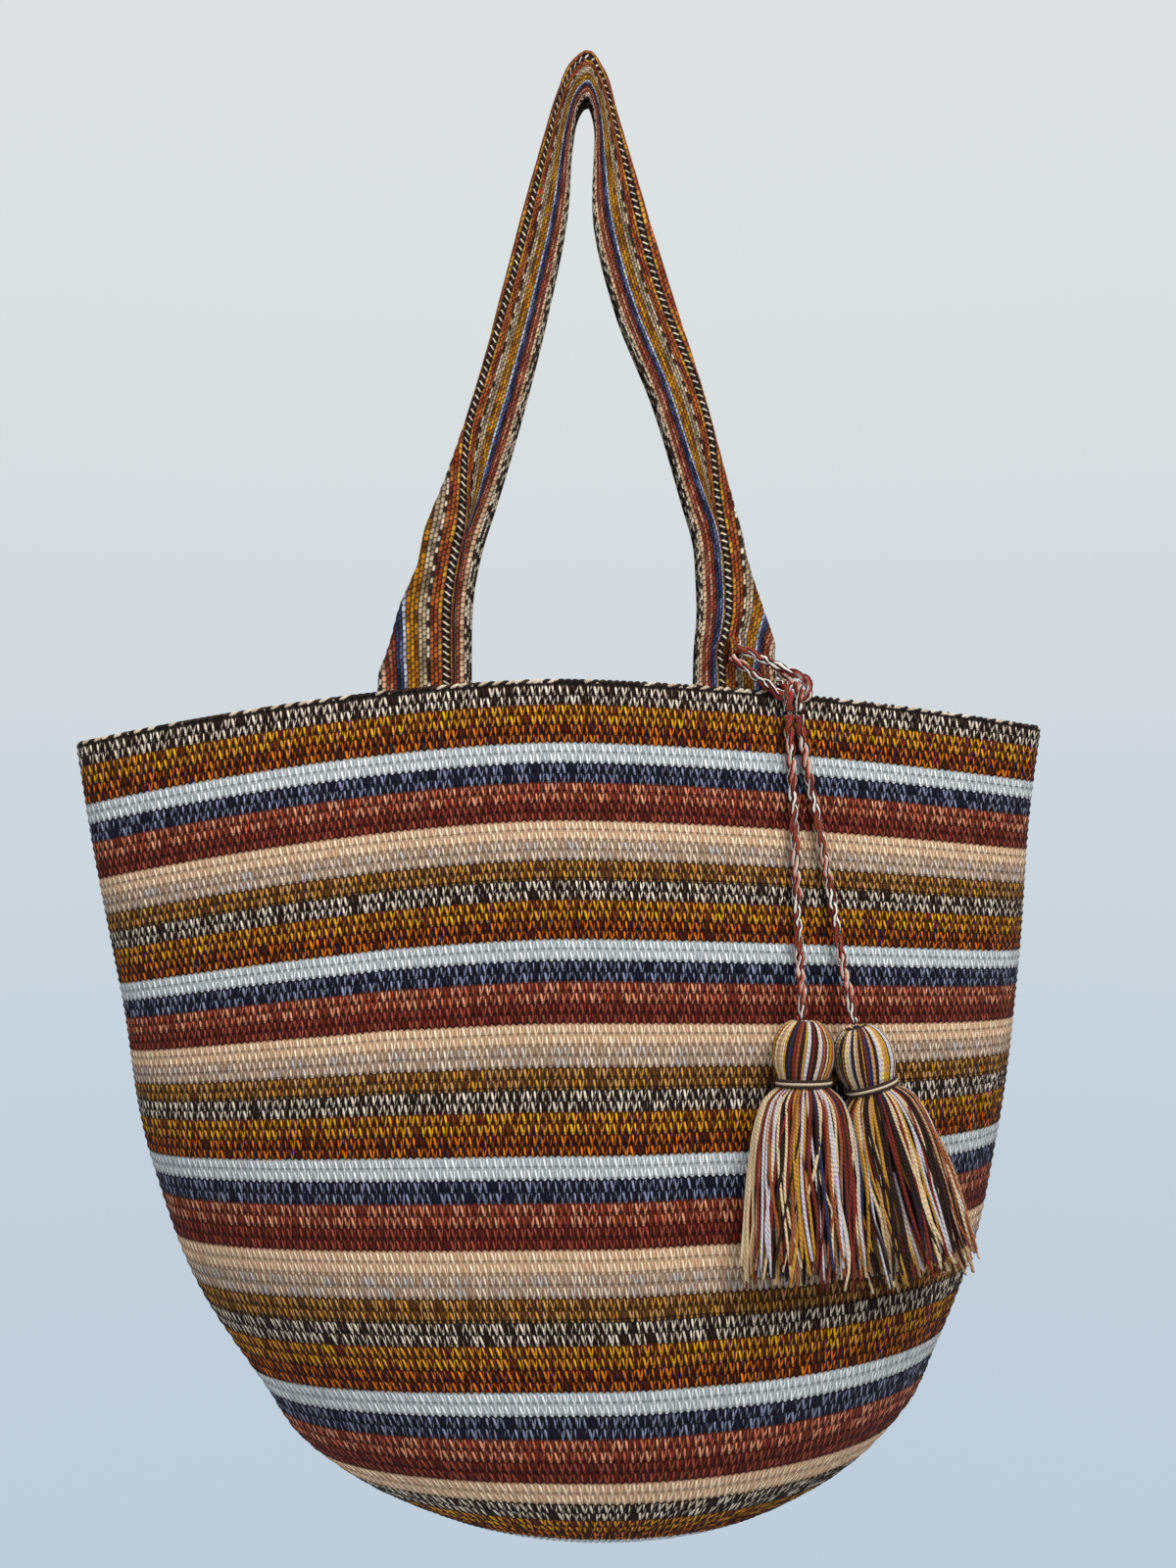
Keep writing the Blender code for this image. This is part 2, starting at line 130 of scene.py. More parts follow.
# Along a strap: x and z of its fold, x and z of its inner edge, y, and the width folded away
STRAP_STATIONS = (
    (-0.0870, -0.2680, -0.0490, -0.2680, -0.0140, 0.0008),
    (-0.0870, -0.2560, -0.0490, -0.2560, -0.0111, 0.0008),
    (-0.0868, -0.2428, -0.0490, -0.2430, -0.0082, 0.0008),
    (-0.0812, -0.2264, -0.0490, -0.2290, -0.0081, 0.0050),
    (-0.0767, -0.2101, -0.0488, -0.2140, -0.0080, 0.0100),
    (-0.0698, -0.1938, -0.0475, -0.2000, -0.0079, 0.0140),
    (-0.0661, -0.1775, -0.0440, -0.1840, -0.0075, 0.0155),
    (-0.0596, -0.1612, -0.0388, -0.1680, -0.0071, 0.0165),
    (-0.0457, -0.1204, -0.0265, -0.1260, -0.0064, 0.0175),
    (-0.0347, -0.0796, -0.0163, -0.0850, -0.0057, 0.0168),
    (-0.0241, -0.0388, -0.0082, -0.0430, -0.0051, 0.0146),
    (-0.0171, -0.0143, -0.0065, -0.0180, -0.0049, 0.0095),
    (-0.0122, 0.0020, -0.0045, -0.0060, -0.0049, 0.0095),
    (-0.0069, 0.0143, -0.0018, -0.0008, -0.0049, 0.0135),
    (0.0000, 0.0194, 0.0000, 0.0000, -0.0049, 0.0175),
    (0.0061, 0.0120, 0.0008, -0.0012, -0.0049, 0.0115),
    (0.0114, -0.0061, 0.0026, -0.0095, -0.0049, 0.0080),
    (0.0163, -0.0224, 0.0022, -0.0270, -0.0050, 0.0130),
    (0.0212, -0.0388, 0.0018, -0.0430, -0.0051, 0.0175),
    (0.0335, -0.0796, 0.0110, -0.0850, -0.0057, 0.0175),
    (0.0465, -0.1204, 0.0273, -0.1260, -0.0064, 0.0175),
    (0.0575, -0.1612, 0.0396, -0.1670, -0.0071, 0.0165),
    (0.0620, -0.1775, 0.0441, -0.1830, -0.0075, 0.0165),
    (0.0657, -0.1938, 0.0453, -0.1980, -0.0079, 0.0160),
    (0.0710, -0.2101, 0.0457, -0.2130, -0.0080, 0.0110),
    (0.0763, -0.2264, 0.0445, -0.2280, -0.0081, 0.0016),
    (0.0783, -0.2428, 0.0441, -0.2430, -0.0082, 0.0008),
    (0.0783, -0.2560, 0.0440, -0.2560, -0.0111, 0.0008),
    (0.0783, -0.2680, 0.0440, -0.2680, -0.0140, 0.0008),
)
# Slot for the cord in the front strap, and how far the warps before and after it move aside.
# It opens from a strip of the band that is twice SLIT wide
SLOT_CENTRE = (0.0608, -0.0085, -0.2302)
SLOT_LENGTH = 0.0104
SLOT_WIDTH = 0.0046
SLOT_OPENS = (-0.3, 1.0)
SLIT = 0.00005

# Twisted cord: radius, length of one turn, how much wider the plies' outline is, their radius
# as a share of it, how much thicker the hitch is, how far that reaches down a hanging end, and
# an end for it that lies far beyond the hitch itself
CORD_RADIUS = 0.00175
CORD_TWIST = 0.0130
CORD_FULLNESS = 1.12
PLY_SHARE = 0.58
HITCH_SWELL = 1.22
SWELL_END = 0.045
HITCH_SWELL_END = 100.0
HITCH_ROUTE = (
    (0.0808, -0.0208, -0.2541), (0.0808, -0.0208, -0.2500), (0.0810, -0.0194, -0.2462),
    (0.0812, -0.0160, -0.2442), (0.0813, -0.0120, -0.2436), (0.0810, -0.0080, -0.2433),
    (0.0790, -0.0046, -0.2423), (0.0740, -0.0038, -0.2400), (0.0675, -0.0040, -0.2366),
    (0.0625, -0.0045, -0.2337), (0.0596, -0.0088, -0.2320), (0.0606, -0.0122, -0.2332),
    (0.0635, -0.0137, -0.2357), (0.0685, -0.0151, -0.2400), (0.0740, -0.0163, -0.2443),
    (0.0787, -0.0168, -0.2482), (0.0832, -0.0168, -0.2502), (0.0878, -0.0168, -0.2488),
    (0.0896, -0.0168, -0.2445), (0.0874, -0.0166, -0.2404), (0.0825, -0.0163, -0.2383),
    (0.0770, -0.0157, -0.2358), (0.0705, -0.0148, -0.2325), (0.0650, -0.0135, -0.2297),
    (0.0627, -0.0120, -0.2287), (0.0618, -0.0088, -0.2284), (0.0645, -0.0046, -0.2298),
    (0.0695, -0.0040, -0.2326), (0.0765, -0.0036, -0.2364), (0.0818, -0.0046, -0.2398),
    (0.0850, -0.0080, -0.2424), (0.0855, -0.0120, -0.2434), (0.0853, -0.0160, -0.2442),
    (0.0851, -0.0194, -0.2462), (0.0849, -0.0208, -0.2500), (0.0849, -0.0208, -0.2541),
)
CORD_ROUTES = {
    "left": (
        (0.0808, -0.0208, -0.2562), (0.0809, -0.0218, -0.2620), (0.0812, -0.0250, -0.2740),
        (0.0814, -0.0302, -0.2953), (0.0818, -0.0352, -0.3223), (0.0819, -0.0420, -0.3488),
        (0.0819, -0.0490, -0.3620), (0.0819, -0.0530, -0.3728),
    ),
    "right": (
        (0.0849, -0.0208, -0.2562), (0.0856, -0.0216, -0.2620), (0.0872, -0.0240, -0.2740),
        (0.0910, -0.0298, -0.2990), (0.0950, -0.0352, -0.3250), (0.0985, -0.0400, -0.3500),
        (0.1006, -0.0456, -0.3640), (0.1019, -0.0496, -0.3748),
    ),
}

# Tassels: height above the binding's middle, half width, and depth over width
TASSEL_RINGS = (
    (0.0232, 0.0030, 1.00), (0.0226, 0.0062, 0.95), (0.0200, 0.0096, 0.88),
    (0.0155, 0.0121, 0.82), (0.0100, 0.0128, 0.79), (0.0050, 0.0118, 0.79),
    (0.0020, 0.0100, 0.79), (-0.0020, 0.0100, 0.79), (-0.0040, 0.0132, 0.66),
    (-0.0070, 0.0162, 0.58), (-0.0120, 0.0184, 0.54), (-0.0200, 0.0203, 0.50),
    (-0.0350, 0.0218, 0.45), (-0.0550, 0.0226, 0.42), (-0.0735, 0.0240, 0.40),
)
# Half width at the binding
TASSEL_NECK = 0.0100
# Middle of the binding, a point further down on the tassel's axis, and its width over the rings'
TASSELS = {
    "left": ((0.0817, -0.0560, -0.3966), (0.0809, -0.0632, -0.4700), 0.96),
    "right": ((0.1084, -0.0512, -0.3990), (0.1280, -0.0545, -0.4710), 0.92),
}
SKIRT_YARNS = 340
SKIRT_POINTS = 18
# Heights at which the skirt's yarns end: the usual one, its spread, and the lowest and highest
SKIRT_END = -0.0690
SKIRT_SPREAD = 0.0036
SKIRT_LIMITS = (-0.0760, -0.0570)
HEAD_YARNS = 120
HEAD_HEIGHTS = (0.0, 0.0031, 0.0062, 0.0093, 0.0124, 0.0155, 0.0185, 0.0205, 0.0220, 0.0227)
# A dark core inside the yarns, painted shade between them: height, and share of the way out to
# the tassel's surface
TASSEL_SHADE_CORE = ((0.0222, 0.9), (0.0190, 0.9), (0.0120, 0.9), (0.0050, 0.9), (-0.0010, 0.85),
               (-0.0080, 0.80), (-0.0250, 0.74), (-0.0560, 0.66))
CORE_SIDES = 24
YARN_RADIUS = 0.00060
BINDING_RADIUS = 0.00062
BINDING_TURNS = 3
# Length of one turn of the plies in a tassel's yarns, and in those of its binding and the rim
TASSEL_TWIST = 0.0017
YARN_TWIST = 0.0016

# Floor far under the bag
FLOOR_RADIUS = 1.1
FLOOR_HEIGHT = -1.2
FLOOR_SIDES = 64

# Colours, 0 to 255. Yarns of the ten stripes: dark and light colour, share of the light one,
# and how much of the dark colour is left in the painted shade between the stitches and rounds
STRIPES = (
    ((48, 32, 24), (226, 212, 192), 0.52, 0.30),
    ((102, 46, 8), (220, 152, 38), 0.55, 0.28),
    ((74, 30, 8), (200, 108, 24), 0.48, 0.26),
    ((190, 200, 204), (232, 238, 240), 0.62, 0.56),
    ((24, 26, 44), (126, 132, 158), 0.46, 0.45),
    ((120, 50, 34), (224, 156, 122), 0.52, 0.32),
    ((90, 30, 21), (152, 74, 56), 0.50, 0.34),
    ((226, 186, 150), (252, 228, 196), 0.55, 0.50),
    ((176, 148, 124), (232, 212, 188), 0.58, 0.50),
    ((98, 60, 26), (200, 154, 92), 0.52, 0.34),
)
# The colour that each stripe's light yarn changes to now and then
ACCENTS = (
    (240, 228, 208), (228, 172, 30), (226, 124, 14), (240, 244, 246), (144, 150, 180),
    (200, 106, 76), (152, 72, 56), (250, 224, 192), (200, 194, 192), (208, 148, 52),
)
# From this stripe on the repeat runs two stripes ahead
SKIP_FROM = 38
# The two colours of each warp, from the middle one to the edge
BLACK_WARP = ((58, 44, 36), (58, 44, 36))
WARP_COLOURS = (
    BLACK_WARP, ((156, 82, 46), (206, 146, 48)), ((136, 60, 36), (178, 96, 50)),
    ((166, 96, 50), (100, 42, 28)), BLACK_WARP, ((190, 168, 136), (132, 110, 88)),
    ((156, 134, 106), (192, 172, 144)), ((176, 118, 30), (112, 64, 14)),
    ((196, 140, 36), (160, 100, 24)), ((136, 82, 20), (196, 138, 38)),
    ((192, 198, 212), (160, 164, 184)), ((46, 50, 84), (92, 98, 136)),
    ((64, 66, 96), (34, 36, 62)), ((130, 58, 40), (96, 40, 28)),
    ((152, 78, 56), (196, 136, 108)), ((118, 52, 36), (156, 88, 66)),
    ((212, 178, 146), (188, 146, 114)), BLACK_WARP, BLACK_WARP,
)
PALE_WARP = (214, 200, 178)
# Strands round a cord's ply: where each starts, 0 to 1, and its colour
CORD_STRANDS = (
    (0.0, (232, 222, 212)), (0.15, (44, 26, 24)), (0.25, (146, 62, 46)), (0.47, (46, 28, 25)),
    (0.57, (222, 208, 196)), (0.70, (172, 92, 72)), (0.79, (108, 44, 35)), (0.92, (42, 26, 24)),
)
# Yarns with one colour each: the share of the yarns up to and with this one, and its colour
TASSEL_COLOURS = (
    (0.20, (48, 32, 28)), (0.38, (228, 204, 164)), (0.56, (118, 46, 36)),
    (0.66, (196, 144, 56)), (0.73, (48, 52, 84)), (0.84, (190, 150, 112)),
    (0.93, (206, 202, 208)), (1, (150, 84, 50)),
)
BINDING_COLOURS = ((0.5, (58, 42, 36)), (1, (212, 194, 168)))
RIM_COLOURS = ((0.34, (40, 30, 26)), (0.62, (216, 202, 182)), (0.8, (60, 44, 36)),
               (1, (196, 178, 156)))


# ---------------------------------------------------------------- curves and surfaces
def curve_through(keys, values, at):
    """Smooth curve through (key, value) pairs: cubic pieces with the neighbours' mean slope."""
    keys = np.asarray(keys, float)
    values = np.asarray(values, float)
    at = np.asarray(at, float)
    width = np.diff(keys)
    slope = np.diff(values, axis=0) / width.reshape(-1, *([1] * (values.ndim - 1)))
    before, after = width[:-1], width[1:]
    weight = (after / (before + after)).reshape(-1, *([1] * (values.ndim - 1)))
    tangent = np.concatenate([slope[:1], slope[:-1] * weight + slope[1:] * (1 - weight),
                              slope[-1:]])
    i = np.clip(np.searchsorted(keys, at, side="right") - 1, 0, len(keys) - 2)
    shape = (-1, *([1] * (values.ndim - 1)))
    h = width[i].reshape(shape)
    t = np.clip((at - keys[i]) / width[i], 0, 1).reshape(shape)
    start = (1 + 2 * t) * (1 - t) ** 2 * values[i] + t * (1 - t) ** 2 * h * tangent[i]
    end = t * t * (3 - 2 * t) * values[i + 1] + t * t * (t - 1) * h * tangent[i + 1]
    return start + end


def distances(points):
    """How far along a line through points each of them lies."""
    return np.concatenate([[0], np.cumsum(np.linalg.norm(np.diff(points, axis=0), axis=1))])


def even_route(route, count):
    """count + 1 evenly spaced points along a smooth curve through the route's points."""
    route = np.asarray(route, float)
    keys = distances(route)
    fine = curve_through(keys, route, np.linspace(0, keys[-1], 4 * count + 1))
    run = distances(fine)
    even = np.linspace(0, run[-1], count + 1)
    return np.stack([np.interp(even, run, fine[:, k]) for k in range(route.shape[1])], axis=1)


def unit(vectors):
    """Vectors divided by their lengths."""
    return vectors / np.maximum(np.linalg.norm(vectors, axis=-1, keepdims=True), 1e-12)


def smooth(x, low, high):
    """0 below low, 1 above high, and a smooth step between them."""
    t = np.clip((x - low) / (high - low), 0, 1)
    return t * t * (3 - 2 * t)


def crease_depth(x, rounds):
    """How far the front wall is pressed in at x, on each of the rounds."""
    depth = np.zeros_like(x)
    for centre, width, most, first, last in CREASES:
        fade = np.sin(np.pi * np.clip((rounds - first) / (last - first), 0, 1)) ** 0.7
        depth += most * fade * np.exp(-((x - centre) / width) ** 2)
    return depth


def wall_ring(level, around, inset=0.0):
    """Points of one cross-section of the wall, pressed in by inset.

    The section is an ellipse grown by the side folds' radius: centre + a cos t + fold cos n
    across and b sin t + fold sin n in depth, n being the ellipse's normal angle at t. around
    runs by length from the left fold (0) by the front to the right fold (0.5) and the back.
    """
    keys, *columns = zip(*SECTIONS)
    half_width, half_depth, centre_x, middle_z, left, right = (
        float(curve_through(keys, column, [level])[0]) for column in columns)
    half_width = max(half_width - inset, 1e-4)
    half_depth = max(half_depth - inset, 1e-4)
    fold = min(FOLD_RADIUS, 0.6 * half_depth)
    a = max(half_width - fold, 1e-5)
    b = max(half_depth - fold, 1e-5)

    def outline(t):
        normal = np.arctan2(a * np.sin(t), b * np.cos(t))
        return (-(a * np.cos(t) + fold * np.cos(normal)),
                -(b * np.sin(t) + fold * np.sin(normal)))

    t = np.linspace(0, 2 * np.pi, 1441)
    x, y = outline(t)
    run = distances(np.stack([x, y], axis=1))
    x, y = outline(np.interp(np.asarray(around) * run[-1], run, t))
    droop = np.where(x < 0, left, right) * np.abs(x / half_width) ** DROOP_POWER
    front = np.clip(-y / half_depth, 0, 1)
    y = y + front * crease_depth(x + centre_x, np.full_like(x, level))
    rise = inset * np.clip((level - 60) / 24, 0, 1)
    return np.stack([x + centre_x, y, middle_z - droop + rise], axis=-1)


def stitches_in(rounds):
    """Stitches in each round: the fewer of what the sides' and the base's rules give."""
    rounds = np.asarray(rounds, float)
    side = STITCHES - SIDE_FEWER * np.floor(np.maximum(rounds - SIDE_TAPER, 0) / 2)
    return np.minimum(side, BASE_STITCHES - BASE_FEWER * (rounds - SIDE_ROUNDS + 1))


def stitch_relief(around, level):
    """Height of the stitches, 0 to 1: two yarn legs that lean together into a V.

    In a stitch, x runs across from 0 to 1 and y down from 0 to 1. A leg is a half round
    across, and its middle runs along a straight line in x and y. The V's point reaches TIP
    into the round below it.
    """
    this_round = np.floor(level)
    down = level - this_round
    above = np.mod(around * stitches_in(this_round - 1) + LEAN * (this_round - 1), 1)
    in_tip = (down < TIP * (1 - np.abs(2 * above - 1))) & (this_round > 0)
    own = np.mod(around * stitches_in(this_round) + LEAN * this_round, 1)
    x = np.where(in_tip, above, own)
    y = (down + in_tip) / (1 + TIP)

    def leg(start, end, half, height):
        off = np.mod(x - (start + (end - start) * y) + 0.5, 1) - 0.5
        return height * np.sqrt(np.clip(1 - (off / half) ** 2, 0, 1))

    legs = np.maximum(*(leg(*shape) for shape in MESH_LEGS))
    return legs * (0.45 + 0.55 * smooth(y, 0.0, 0.3))


# ---------------------------------------------------------------- meshes
def make_piece(name, points, faces, maps, material, body, nodes=(), flat=()):
    """A mesh piece from whole arrays, smooth except for the face sets numbered in flat.

    faces is a list of (count, corners) index arrays. maps gives a list of matching
    (count, corners, 2) arrays for each UV map.
    """
    mesh = bpy.data.meshes.new(name)
    mesh.vertices.add(len(points))
    mesh.vertices.foreach_set("co", np.asarray(points, np.float32).ravel())
    corners = np.concatenate([f.ravel() for f in faces]).astype(np.int32)
    sizes = np.concatenate([np.full(len(f), f.shape[1]) for f in faces])
    starts = np.concatenate([[0], np.cumsum(sizes)[:-1]]).astype(np.int32)
    mesh.loops.add(len(corners))
    mesh.loops.foreach_set("vertex_index", corners)
    mesh.polygons.add(len(sizes))
    mesh.polygons.foreach_set("loop_start", starts)
    round_shaded = np.concatenate([np.full(len(f), i not in flat) for i, f in enumerate(faces)])
    mesh.update(calc_edges=True)
    mesh.polygons.foreach_set("use_smooth", round_shaded)
    for map_name, parts in maps.items():
        layer = mesh.uv_layers.new(name=map_name)
        values = np.concatenate([np.asarray(p, np.float32).ravel() for p in parts])
        layer.data.foreach_set("uv", values)
    mesh.validate()
    mesh.materials.append(material)
    piece = bpy.data.objects.new(name, mesh)
    bpy.context.scene.collection.objects.link(piece)
    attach(piece, body)
    if nodes:
        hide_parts(*nodes)
    return piece


def between_rings(a, b):
    """Faces from ring a to ring b, and their corners' places round and along the stack.

    A ring is (first point, number of points, level, place along the map). Rings with the
    same number of points are joined by quads. Others are joined by triangles, one for each
    edge of either ring, in the order in which the edges end.
    """
    (start_a, n_a, level_a, along_a), (start_b, n_b, level_b, along_b) = a, b
    k = np.arange(n_a)
    if n_a == n_b:
        after = (k + 1) % n_a
        faces = np.stack([start_a + k, start_b + k, start_b + after, start_a + after], axis=1)
        around = np.stack([k, k, k + 1, k + 1], axis=1) / n_a
        second = np.tile([False, True, True, False], (n_a, 1))
    else:
        ends = np.concatenate([(k + 1) / n_a, (np.arange(n_b) + 1) / n_b])
        from_a = np.concatenate([np.ones(n_a, bool), np.zeros(n_b, bool)])
        order = np.argsort(ends, kind="stable")
        from_a = from_a[order]
        i = np.cumsum(from_a) - from_a
        j = np.cumsum(~from_a) - ~from_a
        third = np.where(from_a, start_a + (i + 1) % n_a, start_b + (j + 1) % n_b)
        faces = np.stack([start_a + i % n_a, start_b + j % n_b, third], axis=1)
        third_around = np.where(from_a, (i + 1) / n_a, (j + 1) / n_b)
        around = np.stack([i / n_a, j / n_b, third_around], axis=1)
        second = np.stack([np.zeros_like(from_a), np.ones_like(from_a), ~from_a], axis=1)
    level = np.where(second, level_b, level_a)
    along = np.where(second, along_b, along_a)
    return faces, np.stack([around, level], axis=2), np.stack([around, along], axis=2)


def build_wall(name, first, last, material):
    """One band of the crocheted wall: stitched outside, plain inside, closed at its edges."""
    outer = []
    for this_round in range(first, last):
        count = int(stitches_in(this_round)) * COLUMNS
        outer += [(this_round + row / ROWS, count) for row in range(ROWS)]
    closed = last == ROUNDS
    if not closed:
        outer.append((float(last), int(stitches_in(last - 1)) * COLUMNS))
    inner_last = last - 0.5 if closed else float(last)
    inner = [(level, int(stitches_in(min(level, ROUNDS - 1))))
             for level in np.linspace(inner_last, first, max(4, (last - first) // 4) + 1)]

    points, rings = [], []
    for place, (level, count) in enumerate(outer):
        around = np.arange(count) / count
        ring = wall_ring(level, around)
        lower = wall_ring(level + 0.4, around) if level + 0.4 < ROUNDS else ring
        higher = wall_ring(level - 0.4, around)
        across = np.roll(ring, -1, axis=0) - np.roll(ring, 1, axis=0)
        normal = unit(np.cross(higher - lower, across))
        relief = stitch_relief(around, np.full(count, level + 1e-6))[:, None]
        rings.append((sum(map(len, points)), count, level, 0.5 * place / (len(outer) - 1)))
        points.append(ring - normal * RELIEF * (0.85 - relief))
    for place, (level, count) in enumerate(inner):
        rings.append((sum(map(len, points)), count, level,
                      0.52 + 0.46 * place / (len(inner) - 1)))
        points.append(wall_ring(level, np.arange(count) / count, WALL_THICKNESS))

    joins = [(rings[k], rings[k + 1], k == len(outer) - 1) for k in range(len(rings) - 1)]
    if closed:
        joins = [join for join in joins if not join[2]]
    joins.append((rings[-1], (*rings[0][:3], 0.999), True))
    faces, stitches, bake, flat = [], [], [], []
    for upper, lower, cap in joins:
        found, on_wall, on_map = between_rings(upper, lower)
        if cap:
            flat.append(len(faces))
        faces.append(found)
        stitches.append(on_wall)
        bake.append(on_map)
    if closed:
        for ring, sign, inset in ((rings[len(outer) - 1], 1, 0), (rings[len(outer)], -1, 1)):
            pole = wall_ring(ROUNDS, np.array([0.0]))[0] + [0, 0, inset * WALL_THICKNESS]
            pole[:2] = (SECTIONS[-1][3], 0)
            start, count, level, along = ring
            k = np.arange(count)
            pole_index = sum(map(len, points))
            points.append(pole[None])
            fan = [np.full(count, pole_index), start + (k + 1) % count, start + k]
            faces.append(np.stack(fan[::sign], axis=1))
            around = np.stack([k + 0.5, k + 1, k][::sign], axis=1) / count
            levels = np.array([ROUNDS, level, level][::sign])
            stitches.append(np.stack([around, np.tile(levels, (count, 1))], axis=2))
            alongs = np.array([along + 0.008, along, along][::sign])
            bake.append(np.stack([around, np.tile(alongs, (count, 1))], axis=2))
    bake = [part * [0.998, 1.0] for part in bake]
    return make_piece(name, np.concatenate(points), faces,
                      {"Stitches": stitches, "OFBake": bake}, material, "bag",
                      ("bag_body",), flat)


def tubes(paths, radii, sides, ref, closed=False):
    """Many round tubes at once: points, faces and UVs. Closed tubes are rings without ends.

    paths is (tubes, points, 3), radii matches its first two sizes, and ref is a direction
    that no tube runs along. A tube's point is path + r (cos v u1 + sin v u2), with u1 and
    u2 square to the path. UVs are the turn round the tube and the place along it, 0 to 1.
    """
    many, long = paths.shape[:2]
    steps = long if closed else long - 1
    tangent = unit(np.roll(paths, -1, axis=1) - np.roll(paths, 1, axis=1) if closed
                   else np.gradient(paths, axis=1))
    u1 = unit(np.cross(tangent, ref))
    u2 = np.cross(tangent, u1)
    angle = np.linspace(0, 2 * np.pi, sides, endpoint=False)
    ring = (u1[:, :, None] * np.cos(angle)[:, None] + u2[:, :, None] * np.sin(angle)[:, None])
    points = paths[:, :, None] + ring * radii[:, :, None, None]
    t, i, k = np.meshgrid(np.arange(many), np.arange(steps), np.arange(sides), indexing="ij")
    after = (k + 1) % sides
    here, there = (t * long + i) * sides, (t * long + (i + 1) % long) * sides
    quads, turn, along = (np.stack(corners, axis=-1).reshape(-1, 4) for corners in (
        (here + k, here + after, there + after, there + k), (k, k + 1, k + 1, k),
        (i, i, i + 1, i + 1)))
    shape = {"points": points.reshape(-1, 3), "faces": [quads], "turn": [turn / sides],
             "along": [along / steps], "owner": [t.reshape(-1)], "many": many}
    if closed:
        return shape

    poles = np.stack([paths[:, 0] - tangent[:, 0] * radii[:, :1] * 0.5,
                      paths[:, -1] + tangent[:, -1] * radii[:, -1:] * 0.5], axis=1)
    shape["points"] = np.concatenate([shape["points"], poles.reshape(-1, 3)])
    t, k = (grid.reshape(-1) for grid in np.meshgrid(np.arange(many), np.arange(sides),
                                                     indexing="ij"))
    pole, top = many * long * sides + 2 * t, t * long * sides
    bottom, after = top + (long - 1) * sides, (k + 1) % sides
    caps = {
        "faces": ([pole, top + after, top + k], [pole + 1, bottom + k, bottom + after]),
        "turn": ([(k + 0.5) / sides, (k + 1) / sides, k / sides],
                 [(k + 0.5) / sides, k / sides, (k + 1) / sides]),
        "along": ([np.zeros(len(k))] * 3, [np.ones(len(k))] * 3),
    }
    for key, ends in caps.items():
        shape[key].append(np.concatenate([np.stack(corners, axis=1) for corners in ends]))
    shape["owner"].append(np.tile(t, 2))
    return shape


def strand_maps(shape, tone, lengths, turns_per_metre=0.0):
    """UV maps of a set of tubes: "Yarn" (tone of each tube, metres along it), "Turn" and a
    map for baking that gives each tube its own column."""
    yarn, turned, bake = [], [], []
    for turn, along, owner in zip(shape["turn"], shape["along"], shape["owner"]):
        run = along * lengths[owner][:, None]
        yarn.append(np.stack([np.broadcast_to(tone[owner][:, None], run.shape), run], axis=2))
        turned.append(np.stack([turn + turns_per_metre * run, run], axis=2))
        column = (owner[:, None] + 0.04 + 0.92 * turn) / shape["many"]
        bake.append(np.stack([column, along * 0.998], axis=2))
    return {"Yarn": yarn, "Turn": turned, "OFBake": bake}


def joined(shapes, maps):
    """Several tube sets put into one, with their UV maps."""
    points, faces, merged, start = [], [], {}, 0
    for shape in shapes:
        points.append(shape["points"])
        faces += [f + start for f in shape["faces"]]
        start += len(shape["points"])
    for index, part in enumerate(maps):
        for key, values in part.items():
            moved = values
            if key == "OFBake":
                moved = [(v * [1, 1] + [index, 0]) / [len(maps), 1] for v in values]
            merged.setdefault(key, []).extend(moved)
    return np.concatenate(points), faces, merged


# ---------------------------------------------------------------- shader helpers
class Field:
    """A number or colour that changes over a surface, with ordinary arithmetic on it."""

    def __init__(self, socket):
        self.socket = socket

    def __add__(self, other):
        return calc("ADD", self, other)

    def __sub__(self, other):
        return calc("SUBTRACT", self, other)

    def __rsub__(self, other):
        return calc("SUBTRACT", other, self)

    def __mul__(self, other):
        return calc("MULTIPLY", self, other)

    def __truediv__(self, other):
        return calc("DIVIDE", self, other)

    def __gt__(self, other):
        return calc("GREATER_THAN", self, other)

    def __lt__(self, other):
        return calc("LESS_THAN", self, other)

    def __abs__(self):
        return calc("ABSOLUTE", self)


def linear(colour):
    """Linear RGBA of a 0 to 255 display colour."""
    value = np.asarray(colour, float) / 255
    return (*np.where(value <= 0.04045, value / 12.92, ((value + 0.055) / 1.055) ** 2.4), 1.0)


def feed(socket, value):
    """Links a field to a socket, or sets a plain value."""
    if isinstance(value, Field):
        socket.id_data.links.new(value.socket, socket)
    else:
        socket.default_value = value


def node_for(kind, *values):
    """A new node in the tree that the first field among the values belongs to."""
    tree = next(value for value in values if isinstance(value, Field)).socket.id_data
    return tree.nodes.new(kind)


def calc(operation, *values, clamp=False):
    """One Math node."""
    node = node_for("ShaderNodeMath", *values)
    node.operation = operation
    node.use_clamp = clamp
    for socket, value in zip(node.inputs, values):
        feed(socket, value)
    return Field(node.outputs[0])


def floor(value):
    """Whole part of a field."""
    return calc("FLOOR", value)


def fract(value):
    """What is left of a field above its whole part."""
    return calc("FRACT", value)


def step_between(value, low, high, to_low=0.0, to_high=1.0):
    """A smooth step from to_low, where value is low, to to_high, where it is high."""
    node = node_for("ShaderNodeMapRange", value)
    node.interpolation_type = "SMOOTHSTEP"
    for key, number in zip(("Value", "From Min", "From Max", "To Min", "To Max"),
                           (value, low, high, to_low, to_high)):
        feed(node.inputs[key], number)
    return Field(node.outputs["Result"])


def choose(factor, first, second):
    """A mix of two numbers."""
    node = node_for("ShaderNodeMix", factor, first, second)
    node.data_type = "FLOAT"
    for place, value in ((0, factor), (2, first), (3, second)):
        feed(node.inputs[place], value)
    return Field(node.outputs[0])


def tint(factor, first, second, kind="MIX"):
    """A mix of two colours."""
    node = node_for("ShaderNodeMix", factor, first, second)
    node.data_type = "RGBA"
    node.blend_type = kind
    for place, value in ((0, factor), (6, first), (7, second)):
        feed(node.inputs[place], value)
    return Field(node.outputs[2])


